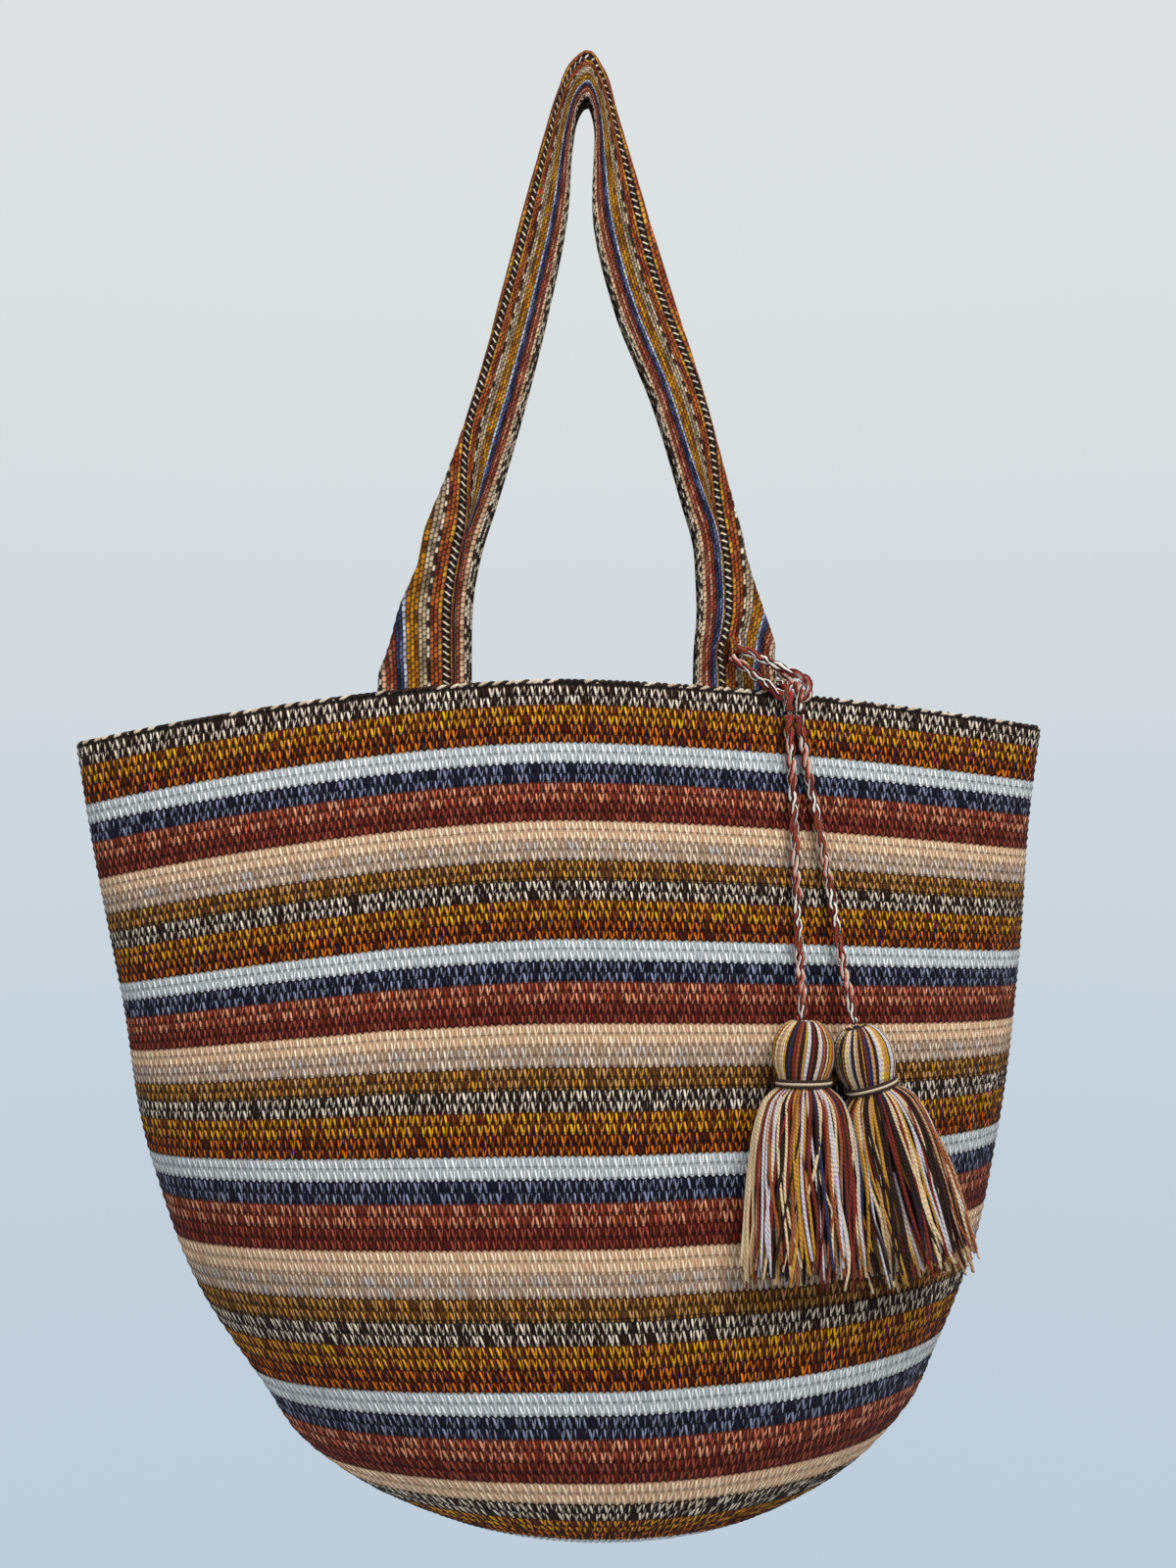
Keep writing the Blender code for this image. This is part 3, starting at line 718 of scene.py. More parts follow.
def shaded(colour, shade):
    """A colour times a number."""
    node = node_for("ShaderNodeVectorMath", colour, shade)
    node.operation = "SCALE"
    feed(node.inputs[0], colour)
    feed(node.inputs["Scale"], shade)
    return Field(node.outputs[0])


def noise(place, scale, detail, rough=0.5, line=False):
    """Value of a noise texture, at a place in space or at a number along a line."""
    node = node_for("ShaderNodeTexNoise", place)
    node.noise_dimensions = "1D" if line else "3D"
    feed(node.inputs["W" if line else "Vector"], place)
    for key, value in (("Scale", scale), ("Detail", detail), ("Roughness", rough)):
        node.inputs[key].default_value = value
    return Field(node.outputs[0])


def noise_along(run, detail=1.0):
    """Noise that changes once in about every unit of run."""
    return noise(run, 1.0, detail, line=True)


def ramp(factor, stops, kind="CONSTANT"):
    """A colour ramp with (position, linear RGBA) stops."""
    node = node_for("ShaderNodeValToRGB", factor)
    node.color_ramp.interpolation = kind
    elements = node.color_ramp.elements
    while len(elements) < len(stops):
        elements.new(0.5)
    for element, (position, colour) in zip(elements, stops):
        element.position = position
        element.color = colour
    feed(node.inputs[0], factor)
    return Field(node.outputs[0])


def pick(factor, values):
    """One of the values, each for an equal stretch of factor from 0 to 1."""
    return ramp(factor, [(i / len(values), v if isinstance(v, tuple) else (v, v, v, 1.0))
                         for i, v in enumerate(values)])


def split_map(vector):
    """The three coordinates of a vector. A map's last one is 0."""
    node = node_for("ShaderNodeSeparateXYZ", vector)
    feed(node.inputs[0], vector)
    return [Field(socket) for socket in node.outputs]


def group(name, given, results):
    """A shader group: its tree, its one input and its output sockets."""
    tree = bpy.data.node_groups.new(name, "ShaderNodeTree")
    tree.interface.new_socket(given, in_out="INPUT", socket_type="NodeSocketVector")
    for label, kind in results:
        tree.interface.new_socket(label, in_out="OUTPUT", socket_type=f"NodeSocket{kind}")
    place = Field(tree.nodes.new("NodeGroupInput").outputs[0])
    return tree, place, tree.nodes.new("NodeGroupOutput").inputs


def use_group(shared, place):
    """What a shader group gives at a place, by name."""
    node = node_for("ShaderNodeGroup", place)
    node.node_tree = shared
    feed(node.inputs[0], place)
    return {socket.name: Field(socket) for socket in node.outputs}


def new_material(name, sheen=0.03):
    """A matt material, its tree and its shader's inputs."""
    material = bpy.data.materials.new(name)
    material.use_nodes = True
    shader = material.node_tree.nodes["Principled BSDF"].inputs
    for key, value in (("Roughness", 0.9), ("Specular IOR Level", 0.10),
                       ("Sheen Weight", sheen), ("Sheen Roughness", 0.5)):
        shader[key].default_value = value
    return material, material.node_tree, shader


def uv(tree, name):
    """A UV map."""
    node = tree.nodes.new("ShaderNodeUVMap")
    node.uv_map = name
    return Field(node.outputs[0])


def object_place(tree):
    """Object coordinates."""
    return Field(tree.nodes.new("ShaderNodeTexCoord").outputs["Object"])


def finish_yarn(tree, shader, fuzz, colour, relief, roughness, fibre, depth, strength=1.0):
    """Fibres over a yarn's colour and relief, into the shader's colour, roughness and normal.

    roughness is (in the hollows, less on the crests), fibre the fibres' share of the height
    and depth the bump's distance.
    """
    fibres = use_group(fuzz, object_place(tree))
    feed(shader["Base Color"], shaded(colour, fibres["Shade"]))
    feed(shader["Roughness"], relief * -roughness[1] + roughness[0])
    height = fibres["Height"] * fibre + relief
    bump = node_for("ShaderNodeBump", height)
    for key, value in (("Strength", strength), ("Distance", depth), ("Height", height)):
        feed(bump.inputs[key], value)
    feed(shader["Normal"], Field(bump.outputs[0]))


# ---------------------------------------------------------------- materials
def stitch_group():
    """Shader group: crochet stitches from (place round the wall, round from the rim)."""
    tree, place, out = group("crochet stitches", "Map",
                             (("Colour", "Color"), ("Relief", "Float")))
    around, level, _ = split_map(place)

    def stitch_of(this_round):
        """Stitches passed since the left fold: place times count, plus the rounds' lean."""
        taken = floor(calc("MAXIMUM", this_round - SIDE_TAPER, 0.0) * 0.5)
        side = taken * -SIDE_FEWER + STITCHES
        base = this_round * -BASE_FEWER + (BASE_STITCHES + BASE_FEWER * (SIDE_ROUNDS - 1))
        return around * calc("MINIMUM", side, base) + this_round * LEAN

    first = floor(level)
    down = level - first
    above = stitch_of(first - 1.0)
    own = stitch_of(first)
    reach = abs(fract(above) * 2.0 - 1.0) * -TIP + TIP
    in_tip = (down < reach) * (first > 0.5)
    this_round = first - in_tip
    stitch = choose(in_tip, own, above)
    x = fract(stitch)
    y = (down + in_tip) / (1 + TIP)

    def leg(start, end, half, height):
        """Distance from a leg's middle line, and its half round section."""
        off = calc("WRAP", x - (y * (end - start) + start), 0.5, -0.5)
        near = off / half
        return off, calc("SQRT", calc("SUBTRACT", 1.0, near * near, clamp=True)) * height

    off_left, left = leg(*LEFT_LEG)
    off_right, right = leg(*RIGHT_LEG)
    is_right = right > left
    off = choose(is_right, off_left, off_right)
    # A leg comes out from under the round above and goes in under its own tip
    shown = step_between(y, 0.15, 0.36, 0.03, 1.0) * step_between(y, 1.0, 0.86, 0.45, 1.0)
    relief = calc("MAXIMUM", left, right) * shown
    twist = calc("SINE", y * 24.0 + off * 16.0)
    relief = twist * relief * 0.07 + relief

    # The stripe's two yarns and which of them this stitch shows
    stripe = floor(this_round * 0.5)
    skipped = (stripe > SKIP_FROM - 0.5) * 2.0
    stripe = calc("MODULO", stripe + skipped, float(len(STRIPES))) * 0.1 + 0.05
    dark, light = (pick(stripe, [linear(s[k]) for s in STRIPES]) for k in (0, 1))
    accent = pick(stripe, [linear(a) for a in ACCENTS])
    share = pick(stripe, [s[2] for s in STRIPES])
    half_stitch = is_right * 0.5 + floor(stitch)
    strand = this_round * 31.7 + half_stitch * 0.55
    limit = (0.5 - share) * 0.62 + 0.5
    # The two yarns run side by side, so most strokes show some of each
    ply = calc("SINE", half_stitch * 4.7 + (y * 5.5 + off * 13.0))
    chance = ply * 0.15 + noise_along(strand) + choose(is_right, 0.055, -0.075)
    lit = step_between(chance - limit, -0.035, 0.035)
    bright = step_between(noise_along(strand * 0.63 + 500.0, 0.0), 0.46, 0.62)
    yarn = tint(lit, dark, tint(bright, light, accent))
    fibre = noise_along(stitch * 2.7 + strand)
    yarn = tint(1.0, yarn, ramp(fibre, [(0.3, (0.74, 0.74, 0.74, 1)),
                                        (0.7, (1.22, 1.22, 1.22, 1))], "LINEAR"), "MULTIPLY")
    # Painted shade: where the relief is low, between the stitches, the colour turns to the
    # stripe's dark colour times its share
    painted_hollow_shade = pick(stripe, [(*(s[3] * part for part in linear(s[0])[:3]), 1.0)
                           for s in STRIPES])
    colour = tint(calc("MULTIPLY", relief, 1.2, clamp=True), painted_hollow_shade, yarn)
    # Each round is a ridge, with a groove above and below it, where painted shade darkens the
    # colour
    groove = step_between(abs(down - 0.55), 0.31, 0.50)
    kept = pick(stripe, [s[3] for s in STRIPES])
    feed(out["Colour"], shaded(colour, 1.11 - groove * ((1.0 - kept) * GROOVE_SHADE)))
    feed(out["Relief"], relief - groove * GROOVE_DEPTH)
    return tree


def fuzz_group():
    """Shader group: fine fibres, as a height and a slight darkening, from a place in metres.

    The darkening is painted shade where the fibres lie low, times a broad random tone.
    """
    tree, place, out = group("yarn fibres", "Place", (("Height", "Float"), ("Shade", "Float")))
    fine = noise(place, 2600.0, 3.0, rough=0.65)
    broad = noise(place, 14.0, 2.0)
    feed(out["Height"], fine)
    feed(out["Shade"], (fine * 0.34 + 0.83) * (broad * 0.24 + 0.88))
    return tree


def crochet_material(stitches, fuzz):
    """Two-colour crocheted yarn in stripes."""
    material, tree, shader = new_material("crochet yarn")
    found = use_group(stitches, uv(tree, "Stitches"))
    finish_yarn(tree, shader, fuzz, found["Colour"], found["Relief"], (0.97, 0.12), 0.22,
                0.0007, 0.9)
    return material


def strap_material(fuzz):
    """Warp-faced webbing: lengthwise stripes of bead-like warp floats."""
    material, tree, shader = new_material("woven strap")
    warp, run, _ = split_map(uv(tree, "Weave"))
    column = floor(warp)
    x = fract(warp) - 0.5
    beat = calc("MODULO", column, 2.0) * 0.5 + run / (2 * WEFT_STEP)
    y = fract(beat) - 0.5
    # A float is 1 - across^2 - along^3 high, so it is a bead that is longer than wide
    across = (y * 0.15 + x) * 2.1
    along = calc("POWER", abs(y * 2.0), 3.0)
    relief = calc("SQRT", calc("SUBTRACT", 1.0, across * across + along, clamp=True))
    from_middle = abs(column - WARPS // 2)
    warp_place = (from_middle + 0.5) / (WARPS // 2 + 1.0)
    drift = noise_along(column * 7.3 + floor(beat) * 0.24)
    colour = tint(step_between(drift, 0.44, 0.58),
                  *(pick(warp_place, [linear(pair[k]) for pair in WARP_COLOURS])
                    for k in (0, 1)))
    # Black warps carry pale beads, and the middle one a pale zigzag
    is_black = calc("MAXIMUM", calc("COMPARE", from_middle, 4.0, 0.1),
                    from_middle > WARPS // 2 - 1.5)
    pale_bead = noise_along(column * 11.9 + floor(beat) * 0.87, 0.0) > 0.49
    pale = linear(PALE_WARP)
    colour = tint(is_black * pale_bead, colour, pale)
    is_middle = from_middle < 0.5
    stroke = fract(beat * 0.8) - 0.5
    off = abs(x - (abs(stroke) * 1.3 - 0.325))
    # Of its strokes that lean the other way, only some are pale
    there = calc("MAXIMUM", stroke > 0.0, noise_along(floor(beat * 0.8), 0.0) > 0.52)
    colour = tint(is_middle * there * step_between(off, 0.26, 0.16), colour, pale)
    relief = choose(is_middle, relief, step_between(off, 0.42, 0.0))
    tone = noise_along(column * 17.3 + beat * 0.31)
    colour = shaded(colour, step_between(tone, 0.3, 0.7, 0.70, 1.22))
    # Painted shade: the colour darkens towards the gaps between the floats, where their relief
    # is low
    colour = shaded(colour, calc("POWER", relief, 0.7) * 0.86 + 0.16)
    finish_yarn(tree, shader, fuzz, colour, relief, (0.94, 0.1), 0.2, 0.0005)
    return material


def yarn_material(name, fuzz, colours, twist_step):
    """Twisted yarn whose tone picks one of the colours: (upper limit of the tone, colour)."""
    material, tree, shader = new_material(name)
    tone, run, _ = split_map(uv(tree, "Yarn"))
    turn = split_map(uv(tree, "Turn"))[0]
    limits = [0.0] + [limit for limit, _ in colours[:-1]]
    colour = ramp(fract(tone), [(limit, linear(c)) for limit, (_, c) in zip(limits, colours)])
    wave = calc("SINE", (turn * 2.0 + run / twist_step) * (2 * math.pi))
    ply = wave * 0.5 + 0.5
    # Painted shade: the colour darkens between the plies, where the wave is low
    finish_yarn(tree, shader, fuzz, shaded(colour, ply * 0.26 + 0.80), ply, (0.95, 0.1), 0.3,
                0.0002)
    return material


def cord_material(fuzz):
    """Two-ply cord: the strands of each ply run round it as long slanting strokes."""
    material, tree, shader = new_material("twisted cord")
    tone = split_map(uv(tree, "Yarn"))[0]
    turn = split_map(uv(tree, "Turn"))[0]
    place = object_place(tree)
    strand = fract(turn + tone + noise(place, 180.0, 1.0) * 0.5)
    colour = ramp(strand, [(start, linear(c)) for start, c in CORD_STRANDS])
    ply = step_between(abs(fract(strand * 6.0) - 0.5), 0.5, 0.2)
    # Painted shade: each strand's colour darkens towards its borders, in the grooves between
    # strands
    colour = shaded(colour, ply * 0.45 + 0.6)
    colour = shaded(colour, noise(place, 420.0, 1.0) * 0.7 + 0.68)
    finish_yarn(tree, shader, fuzz, colour, ply, (0.96, 0.1), 0.3, 0.0003)
    return material


# ---------------------------------------------------------------- straps
def strap_section(height, hidden):
    """Section of a strap, as (inward, backward) from its fold line, inner edge first."""
    settled = min(1.0, hidden / FOLD_SETTLES)
    turn = np.radians(14 + 164 * settled ** 2 * (3 - 2 * settled))
    bend = TIGHT_FOLD + (LOOSE_FOLD - TIGHT_FOLD) * (1 - settled) ** 2
    curl = np.array([(bend - bend * np.sin(a), bend - bend * np.cos(a))
                     for a in np.linspace(0, turn, 13)])
    rest = max(0.0008, hidden - bend * turn / 2)
    end = curl[-1] + np.array([-np.cos(turn), np.sin(turn)]) * rest
    return np.concatenate([[(height, 0.0)], curl, [end]])


def warp_places(edge_z, right_leg):
    """Places of the warps' borders across the band, 0 to 1, and how far the pleat is drawn.

    They follow the warps' widths, less what the pleat takes from its warps and, towards the
    hook, what the shift takes from the warps before the middle one.
    """
    column = np.arange(WARPS)
    first, last = PLEAT_WARPS[1 if right_leg else -1]
    drawn = float(smooth(edge_z, PLEAT_FROM, PLEAT_TO))
    shifted = float(smooth(edge_z, SHIFT_FROM, SHIFT_TO))
    widths = np.concatenate([WARP_WIDTHS[:0:-1], WARP_WIDTHS])
    widths = widths * (1 - PLEAT_TAKES * drawn * ((column >= first) & (column < last)))
    widths = widths * (1 - SHIFT * shifted * (column < WARPS // 2))
    ends = np.concatenate([[0], np.cumsum(widths)])
    return ends / ends[-1], drawn, first, last


def strap_middles(warp, split):
    """Points of the band's middle layer and its normals: rows of sections by warp borders.

    A point is the fold's plus what the section gives inward and backward at the warp's
    place. The pleat moves it back by depth times exp(-(3 d)^2), d being the distance from
    the pleat's middle over its width.
    """
    middles, normals = [], []
    for fold_x, fold_z, edge_x, edge_z, y, hidden in even_route(STRAP_STATIONS,
                                                                STRAP_ROWS - 1):
        inward = np.array([edge_x - fold_x, 0, edge_z - fold_z])
        height = np.linalg.norm(inward)
        section = strap_section(height, hidden)
        run = distances(section)
        places, drawn, first, last = warp_places(edge_z, fold_x > 0)
        at = np.interp(warp, np.arange(WARPS + 1), places) * run[-1]
        at[split] -= SLIT
        at[split + 1] += SLIT
        line = np.stack([np.interp(at, run, section[:, k]) for k in range(2)], axis=1)
        from_pleat = (warp - (first + last) / 2) / (last - first)
        line[:, 1] += drawn * PLEAT_DEPTH * np.exp(-(3 * from_pleat) ** 2)
        ahead = unit(np.gradient(line, axis=0))
        to_inward, backward = inward / height, np.array([0, 1, 0])
        middles.append(np.array([fold_x, y, fold_z]) + line[:, :1] * to_inward
                       + line[:, 1:] * backward)
        normals.append(ahead[:, 1:] * to_inward - ahead[:, :1] * backward)
    middles, normals = np.array(middles), np.array(normals)
    outward = np.sign(normals[:, :1, 1:2] * -1)
    return middles, normals * np.where(outward == 0, 1, outward)


def opened_slot(middles, run, warp, split):
    """The middle layer with its slot open, and the rows in which it is.

    The warps beside the slot move aside by w sqrt(1 - (d / l)^2), d along the band, w and l
    being half its width and length. Those further away move less.
    """
    from_centre = np.linalg.norm(middles[:, split] - np.array(SLOT_CENTRE), axis=1)
    at = run - run[np.argmin(from_centre)]
    open_by = SLOT_WIDTH / 2 * np.sqrt(np.clip(1 - (at / (SLOT_LENGTH / 2)) ** 2, 0, 1))
    across = unit(middles[:, split + 1] - middles[:, split])
    side = np.where(np.arange(len(warp)) <= split, *SLOT_OPENS)
    fade = 1 - np.abs(warp - warp[split]) / (WARPS / 2 + 0.6)
    moved = across[:, None] * (open_by[:, None] * side * fade)[:, :, None]
    return middles + moved, np.abs(at) < SLOT_LENGTH / 2 - 0.0004


def slot_walls(hole, wide, split):
    """Faces that line the slot's two sides and two ends, and the slot's first row."""
    rows = np.flatnonzero(hole)
    first, last = rows[0], rows[-1]
    left, right = split, split + 1
    left_back, right_back = wide - 1 - left, wide - 1 - right
    here = np.arange(first, last) * wide
    ahead = here + wide
    sides = [
        np.stack([here + left, ahead + left, ahead + left_back, here + left_back], axis=1),
        np.stack([here + right, here + right_back, ahead + right_back, ahead + right], axis=1)]
    ends = [[first * wide + c for c in (left, left_back, right_back, right)],
            [last * wide + c for c in (left, right, right_back, left_back)]]
    return np.concatenate([*sides, ends]), first


def build_strap(name, node, mirror, material, slotted):
    """A woven band folded lengthwise: a ridge for each warp, on both faces.

    A point is middle + normal times half the thickness, less at the warps' borders than at
    their middles. The back strap is the front one with its depths times -1.
    """
    split = 2 * (WARPS // 2 + 1)
    warp = np.arange(2 * WARPS + 1) / 2
    warp = np.insert(warp, split, warp[split])
    count = len(warp)
    middles, normals = strap_middles(warp, split)
    run = distances(middles[:, WARPS])
    hole = np.zeros(STRAP_ROWS, bool)
    if slotted:
        middles, hole = opened_slot(middles, run, warp, split)
    crown = np.where(np.isclose(np.mod(warp, 1), 0.5), WARP_RELIEF, 0.0)
    off = normals * (STRAP_THICKNESS / 2 - WARP_RELIEF + crown[None, :, None])
    points = np.concatenate([middles + off, (middles - off)[:, ::-1]], axis=1)
    points[:, :, 1] *= mirror

    wide = 2 * count
    r, k = np.meshgrid(np.arange(STRAP_ROWS - 1), np.arange(wide), indexing="ij")
    after = (k + 1) % wide
    quads = np.stack([r * wide + k, r * wide + after, (r + 1) * wide + after,
                      (r + 1) * wide + k], axis=-1)
    warps_at = np.concatenate([warp, warp[::-1]])[np.stack([k, after, after, k], axis=-1)]
    last_edge, first_edge = (k == count - 1)[..., None], (k == wide - 1)[..., None]
    warps_at = np.where(last_edge, WARPS - 0.02, np.where(first_edge, 0.02, warps_at))
    runs = run[np.stack([r, r, r + 1, r + 1], axis=-1)]
    ring = np.stack([k, k + 1, k + 1, k], axis=-1) / wide
    keep = ~(np.isin(k, (split, wide - 2 - split)) & (hole[:-1] & hole[1:])[r])
    faces = [quads[keep]]
    weaves = [np.stack([warps_at, runs], axis=-1)[keep]]
    bakes = [np.stack([runs / run[-1], ring], axis=-1)[keep] * 0.998]
    if slotted:
        walls, first = slot_walls(hole, wide, split)
        faces.append(walls)
        weaves.append(np.broadcast_to([WARPS / 2, float(run[first])], (*walls.shape, 2)))
        bakes.append(np.broadcast_to([0.999, 0.999], (*walls.shape, 2)))
    k = np.arange(count - 1)
    for row, flip in ((0, 1), (STRAP_ROWS - 1, -1)):
        start = row * wide
        cap = np.stack([start + k, start + wide - 1 - k, start + wide - 2 - k,
                        start + k + 1][::flip], axis=1)
        faces.append(cap)
        at = np.stack([warp[k], warp[k], warp[k + 1], warp[k + 1]][::flip], axis=1)
        weaves.append(np.stack([at, np.full(at.shape, run[row])], axis=2))
        bakes.append(np.full((*cap.shape, 2), 0.9995))
    if mirror < 0:
        faces, weaves, bakes = ([part[:, ::-1] for part in parts]
                                for parts in (faces, weaves, bakes))
    return make_piece(name, points.reshape(-1, 3), faces, {"Weave": weaves, "OFBake": bakes},
                      material, "bag", (node,))


# ---------------------------------------------------------------- cords and tassels
def path_frames(points):
    """Tangent and two directions square to it that don't spin along the path."""
    tangent = unit(np.gradient(points, axis=0))
    first = np.cross(tangent[0], (0.0, 1.0, 0.0))
    side = [first / np.linalg.norm(first)]
    for ahead in tangent[1:]:
        turned = side[-1] - ahead * np.dot(side[-1], ahead)
        side.append(turned / np.linalg.norm(turned))
    side = np.array(side)
    return tangent, side, np.cross(tangent, side)


def twisted(points, radius, ply_share, pitch, sides, lean=1.3):
    """Two plies wound round a path: centre + (radius - ply radius)(cos w u + sin w v).

    radius is an array along the path, ply_share the plies' radius as a share of it, pitch the
    length of one turn, and lean how often a ply's strands run round it in that length.
    """
    tangent, u, v = path_frames(points)
    run = distances(points)
    shapes, maps = [], []
    for ply in range(2):
        w = 2 * np.pi * (run / pitch + ply / 2)
        outward = u * np.cos(w)[:, None] + v * np.sin(w)[:, None]
        path = points + outward * (radius * (1 - ply_share))[:, None]
        shape = tubes(path[None], radius[None] * ply_share, sides, outward[None])
        shapes.append(shape)
        maps.append(strand_maps(shape, np.array([ply * 0.5]), np.array([run[-1]]),
                                lean / pitch))
    return joined(shapes, maps)


def build_cord(name, node, route, body, material, swell_end, sides=10, spacing=0.0009):
    """A twisted cord along a route, looser and thicker at its start as far as swell_end."""
    rough = distances(even_route(route, 200))[-1]
    points = even_route(route, int(rough / spacing))
    run = np.linspace(0, rough, len(points))
    swell = 1 + (HITCH_SWELL / CORD_FULLNESS - 1) * (1 - smooth(run, 0, swell_end))
    radius = CORD_RADIUS * CORD_FULLNESS * swell
    shape, faces, maps = twisted(points, radius, PLY_SHARE, CORD_TWIST, sides)
    piece = make_piece(name, shape, faces, maps, material, body, (node,))
    return piece, points


def tassel_axes(side):
    """Binding centre and unit vectors up, across and in depth of a tassel, and its scale."""
    neck, low, width = TASSELS[side]
    axis = (Vector(neck) - Vector(low)).normalized()
    across = (Vector((1, 0, 0)) - axis * axis.x).normalized()
    return [np.array(v) for v in (neck, axis, across, axis.cross(across))] + [width]


def tassel_points(side, height, angle, share):
    """Points in a tassel: at a height and an angle, share of the way out to its surface."""
    neck, up, across, depth, width = tassel_axes(side)
    heights, widths, flats = np.array(TASSEL_RINGS)[::-1].T
    half = np.interp(height, heights, widths) * width * share
    flat = np.interp(height, heights, flats)
    return (neck + up * height[..., None] + across * (half * np.cos(angle))[..., None]
            + depth * (half * flat * np.sin(angle))[..., None])


def skirt_yarns(side, random):
    """A tassel's skirt: yarns that fan out from under the winding and end raggedly.

    A yarn is the tassel's surface at its own angle, plus slow sine waves across and a drift
    that grows down to its end. Half of the yarns are outside and the others further in.
    """
    n = SKIRT_YARNS
    t = np.linspace(0, 1, SKIRT_POINTS)
    layer = np.where(np.arange(n) < 0.5 * n, 1.0, random.uniform(0.35, 0.82, n))
    angle = np.concatenate([np.linspace(0, 2 * np.pi, n // 2, endpoint=False),
                            random.uniform(0, 2 * np.pi, n - n // 2)])
    angle += random.normal(0, 0.02, n)
    low = SKIRT_END + random.normal(0, SKIRT_SPREAD, n) + 0.002 * random.random(n)
    low = np.clip(low, *SKIRT_LIMITS)
    height = 0.0005 + (low[:, None] - 0.0005) * t ** 1.5
    wave = (random.normal(0, 0.08, (n, 1)) * np.sin(2 * np.pi * t * random.uniform(
        0.5, 1.9, (n, 1)) + random.uniform(0, 6, (n, 1))) * t ** 0.7
            + random.normal(0, 0.20, (n, 1)) * t ** 2)
    ripple = np.sin(2 * np.pi * t * random.uniform(1, 2.6, (n, 1))
                    + random.uniform(0, 6, (n, 1))) * random.uniform(0, 0.06, (n, 1))
    share = layer[:, None] * (1 - YARN_RADIUS / 0.012) + (random.normal(0, 0.06, (n, 1))
                                                         + ripple) * t
    clipped = np.maximum(height, TASSEL_RINGS[-1][0])
    lines = tassel_points(side, clipped, angle[:, None] + wave, share)
    lines += tassel_axes(side)[1] * (height - clipped)[..., None]
    radii = YARN_RADIUS * random.uniform(0.72, 1.22, (n, 1)) * (1 - 0.25 * (t > 0.985))
    shape = tubes(lines, np.broadcast_to(radii, (n, len(t))), 6, np.array([0, 1.0, 0.02]))
    # Neighbouring yarns often share a colour
    bunch = np.cumsum(random.random(n) < 0.86)
    tone = random.random(n)[bunch % n]
    return shape, strand_maps(shape, tone, np.full(n, 0.075))


def head_yarns(side, random):
    """A tassel's head: yarns that run up from the winding, slightly round, and over the top."""
    m, rows = HEAD_YARNS, len(HEAD_HEIGHTS)
    angle = np.linspace(0, 2 * np.pi, m, endpoint=False) + random.normal(0, 0.02, m)
    twist = 0.35 * np.linspace(0, 1, rows)
    lines = tassel_points(side, np.broadcast_to(HEAD_HEIGHTS, (m, rows)),
                          angle[:, None] + twist,
                          np.full((m, rows), 0.93) + random.normal(0, 0.012, (m, 1)))
    shape = tubes(lines, np.full((m, rows), YARN_RADIUS * 0.9), 6, np.array([0.02, 1.0, 0.3]))
    tone = random.random(m)[np.cumsum(random.random(m) < 0.8) % m]
    return shape, strand_maps(shape, tone, np.full(m, 0.026))


def tassel_shade_core(side):
    """A dark core as painted shade between the yarns: the tassel's own outline, a little
    smaller.
    """
    heights, share = np.array(TASSEL_SHADE_CORE).T
    none = np.zeros(len(heights))
    shape = tubes(tassel_points(side, heights, none, none)[None],
                  np.full((1, len(heights)), 0.001), CORE_SIDES, np.array([0, 1.0, 0.02]))
    angle = np.linspace(0, 2 * np.pi, CORE_SIDES, endpoint=False)
    rings = tassel_points(side, *np.broadcast_arrays(heights[:, None], -angle[None],
                                                     share[:, None]))
    shape["points"][:rings.size // 3] = rings.reshape(-1, 3)
    return shape, strand_maps(shape, np.array([0.05]), np.array([0.08]))


def build_tassel(side, material, seed):
    """A tassel of cut yarns: a loose skirt, a head of yarns bent over, and a dark core as
    painted shade.
    """
    random = np.random.default_rng(seed)
    shapes, maps = zip(skirt_yarns(side, random), head_yarns(side, random), tassel_shade_core(side))
    points, faces, merged = joined(shapes, maps)
    return make_piece(f"{side}_tassel_yarns", points, faces, merged, material,
                      f"{side}_tassel_hanging", (f"{side}_tassel",))


def build_binding(side, material):
    """The yarns wound round a tassel's neck: turns of a helix, dark and pale by turns."""
    t = np.linspace(0, 1, 36)
    place = np.arange(BINDING_TURNS)[:, None] + t - BINDING_TURNS / 2
    neck, up, across, depth, width = tassel_axes(side)
    half = TASSEL_NECK * width + YARN_RADIUS
    angle = 2 * np.pi * t + np.pi / 2
    path = (neck + up * (place * BINDING_RADIUS * 1.6)[..., None]
            + across * (half * np.cos(angle))[:, None]
            + depth * (half * 0.80 * np.sin(angle))[:, None])
    shape = tubes(path, np.full((BINDING_TURNS, len(t)), BINDING_RADIUS), 8, up[None, None])
    maps = strand_maps(shape, np.array([0.1, 0.7, 0.3]),
                       np.full(BINDING_TURNS, 2 * math.pi * half))
    return make_piece(f"{side}_tassel_winding", shape["points"], shape["faces"], maps,
                      material, f"{side}_tassel_hanging",
                      (f"{side}_tassel_binding",))


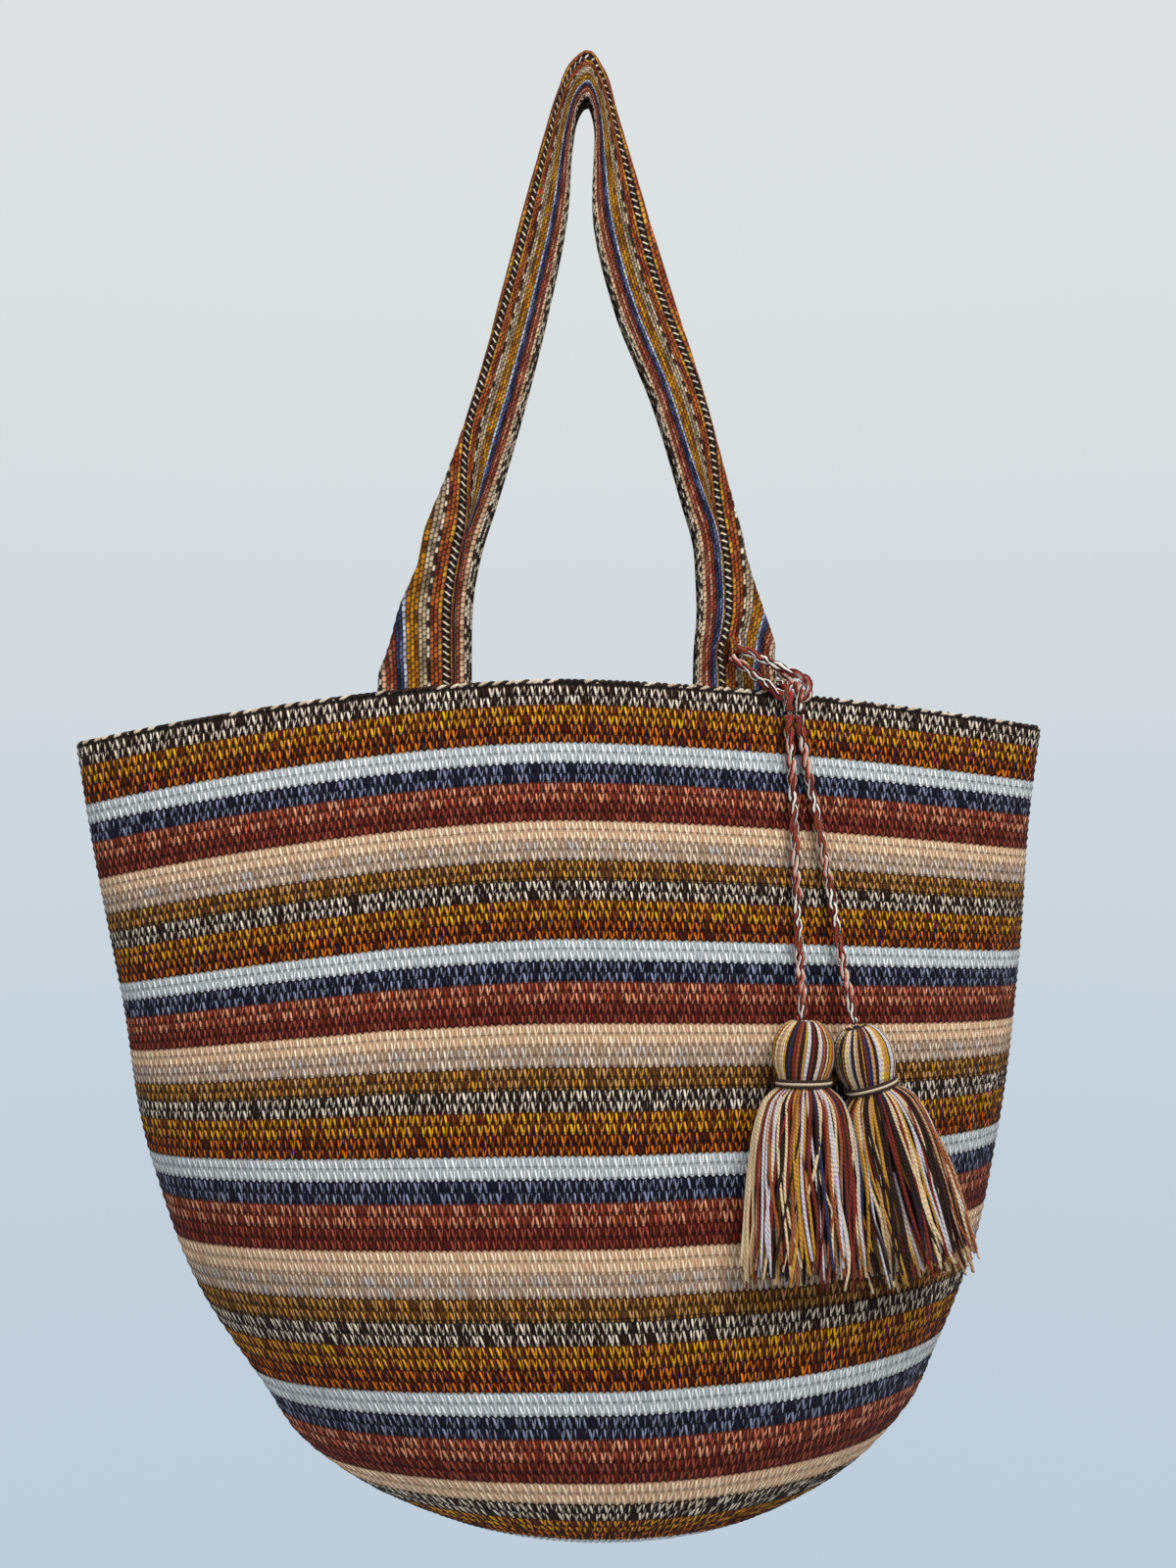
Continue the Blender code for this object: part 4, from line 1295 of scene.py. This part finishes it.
def build_rim(material):
    """The chain stitches along the rim: two plies wound round its upper edge."""
    around = np.linspace(0, 1, RIM_POINTS, endpoint=False)
    outer = wall_ring(0.0, around)
    inner = wall_ring(0.0, around, WALL_THICKNESS)
    middle = (outer + inner) / 2 + [0, 0, RIM_RISE]
    tangent = unit(np.roll(middle, -1, axis=0) - np.roll(middle, 1, axis=0))
    outward = unit(outer - inner)
    up = np.cross(outward, tangent)
    up *= np.sign(up[:, 2:])
    shapes, maps = [], []
    for ply in range(2):
        w = 2 * np.pi * (around * STITCHES / 2 + ply / 2)
        path = (middle + outward * (RIM_SWING[0] * np.cos(w))[:, None]
                + up * (RIM_SWING[1] * np.sin(w))[:, None])
        shape = tubes(path[None], np.full((1, RIM_POINTS), RIM_RADIUS), 6, up[None], True)
        along = shape["along"][0]
        link = np.floor(along * STITCHES / 2)
        tone = np.mod(0.5 * ply + 0.37 * np.sin(link * 12.9898 + ply), 1)
        found = strand_maps(shape, np.array([0.0]), np.array([RIM_LENGTH]))
        found["Yarn"] = [np.stack([tone, along * RIM_LENGTH], axis=2)]
        shapes.append(shape)
        maps.append(found)
    points, faces, merged = joined(shapes, maps)
    return make_piece("rim_chain", points, faces, merged, material, "bag")


# ---------------------------------------------------------------- stage, light and camera
def build_stage():
    """A pale floor, a pale world, soft light and the photograph's camera."""
    around = np.linspace(0, 2 * np.pi, FLOOR_SIDES, endpoint=False)
    rim = np.stack([FLOOR_RADIUS * np.cos(around), FLOOR_RADIUS * np.sin(around),
                    np.full(FLOOR_SIDES, FLOOR_HEIGHT)], axis=1)
    mesh = bpy.data.meshes.new("floor")
    mesh.from_pydata(rim.tolist(), [], [list(range(FLOOR_SIDES))])
    floor = bpy.data.objects.new("floor", mesh)
    material, _, shader = new_material("floor", sheen=0.0)
    shader["Base Color"].default_value = (0.72, 0.74, 0.77, 1)
    mesh.materials.append(material)
    bpy.context.scene.collection.objects.link(floor)

    world = bpy.data.worlds.new("studio")
    world.use_nodes = True
    nodes = world.node_tree.nodes
    nodes.clear()
    lit, seen = nodes.new("ShaderNodeBackground"), nodes.new("ShaderNodeBackground")
    height = split_map(Field(nodes.new("ShaderNodeTexCoord").outputs["Generated"]))[2]
    lit.inputs["Color"].default_value = (0.98, 0.98, 1.0, 1)
    feed(lit.inputs["Strength"], step_between(height, -0.7, 0.6, 0.13, 0.56))
    feed(seen.inputs["Color"], ramp(height + 0.5, [
        (0.0, linear((190, 205, 219))), (1.0, linear((222, 226, 226)))], "EASE"))
    path = nodes.new("ShaderNodeLightPath").outputs
    camera_ray, glossy_ray, through_ray = (
        Field(path[f"Is {kind} Ray"]) for kind in ("Camera", "Glossy", "Transmission"))
    mix = nodes.new("ShaderNodeMixShader")
    feed(mix.inputs[0], calc("ADD", camera_ray, glossy_ray + through_ray, clamp=True))
    feed(mix.inputs[1], Field(lit.outputs[0]))
    feed(mix.inputs[2], Field(seen.outputs[0]))
    feed(nodes.new("ShaderNodeOutputWorld").inputs["Surface"], Field(mix.outputs[0]))
    bpy.context.scene.world = world

    for name, place, size, power, colour in (
            ("key", (0.75, -1.15, 1.2), 1.0, 37.0, (1.0, 0.98, 0.95)),
            ("fill", (-1.3, -1.4, 0.3), 1.5, 7.5, (0.96, 0.98, 1.0)),
            ("rear", (0.4, 1.6, 0.9), 1.4, 24.0, (1.0, 1.0, 1.0))):
        light = bpy.data.lights.new(name, "AREA")
        light.size = size
        light.energy = power
        light.color = colour
        lamp = bpy.data.objects.new(name, light)
        lamp.location = place
        aim = Vector((0, 0, -0.3)) - Vector(place)
        lamp.rotation_euler = aim.to_track_quat("-Z", "Y").to_euler()
        bpy.context.scene.collection.objects.link(lamp)

    camera = bpy.data.objects.new("camera", bpy.data.cameras.new("camera"))
    camera.data.lens = CAMERA_LENS
    camera.data.sensor_width = 36.0
    camera.location = (0, -CAMERA_DISTANCE, CAMERA_HEIGHT)
    camera.rotation_euler = (math.pi / 2, 0, 0)
    bpy.context.scene.collection.objects.link(camera)
    bpy.context.scene.camera = camera
    bpy.context.scene.view_settings.view_transform = "Standard"


# ---------------------------------------------------------------- building it all
build_stage()
fuzz = fuzz_group()
tassel_yarn = yarn_material("tassel yarn", fuzz, TASSEL_COLOURS, TASSEL_TWIST)
binding_yarn = yarn_material("binding yarn", fuzz, BINDING_COLOURS, YARN_TWIST)
twisted_yarn = cord_material(fuzz)
for side, seed in (("left", 11), ("right", 41)):
    build_tassel(side, tassel_yarn, seed)
    build_binding(side, binding_yarn)
    cord, path = build_cord(f"{side}_twisted_cord", f"{side}_cord", CORD_ROUTES[side],
                            f"{side}_tassel_hanging", twisted_yarn, SWELL_END)
build_cord("twisted_hitch", "cord_hitch", HITCH_ROUTE, "bag", twisted_yarn, HITCH_SWELL_END)

crochet = crochet_material(stitch_group(), fuzz)
for band, first, last in BANDS:
    build_wall(f"crochet_{band}", first, last, crochet)
build_rim(yarn_material("rim yarn", fuzz, RIM_COLOURS, YARN_TWIST))

webbing = strap_material(fuzz)
build_strap("front_woven_strap", "front_strap", 1, webbing, True)
build_strap("back_woven_strap", "back_strap", -1, webbing, False)
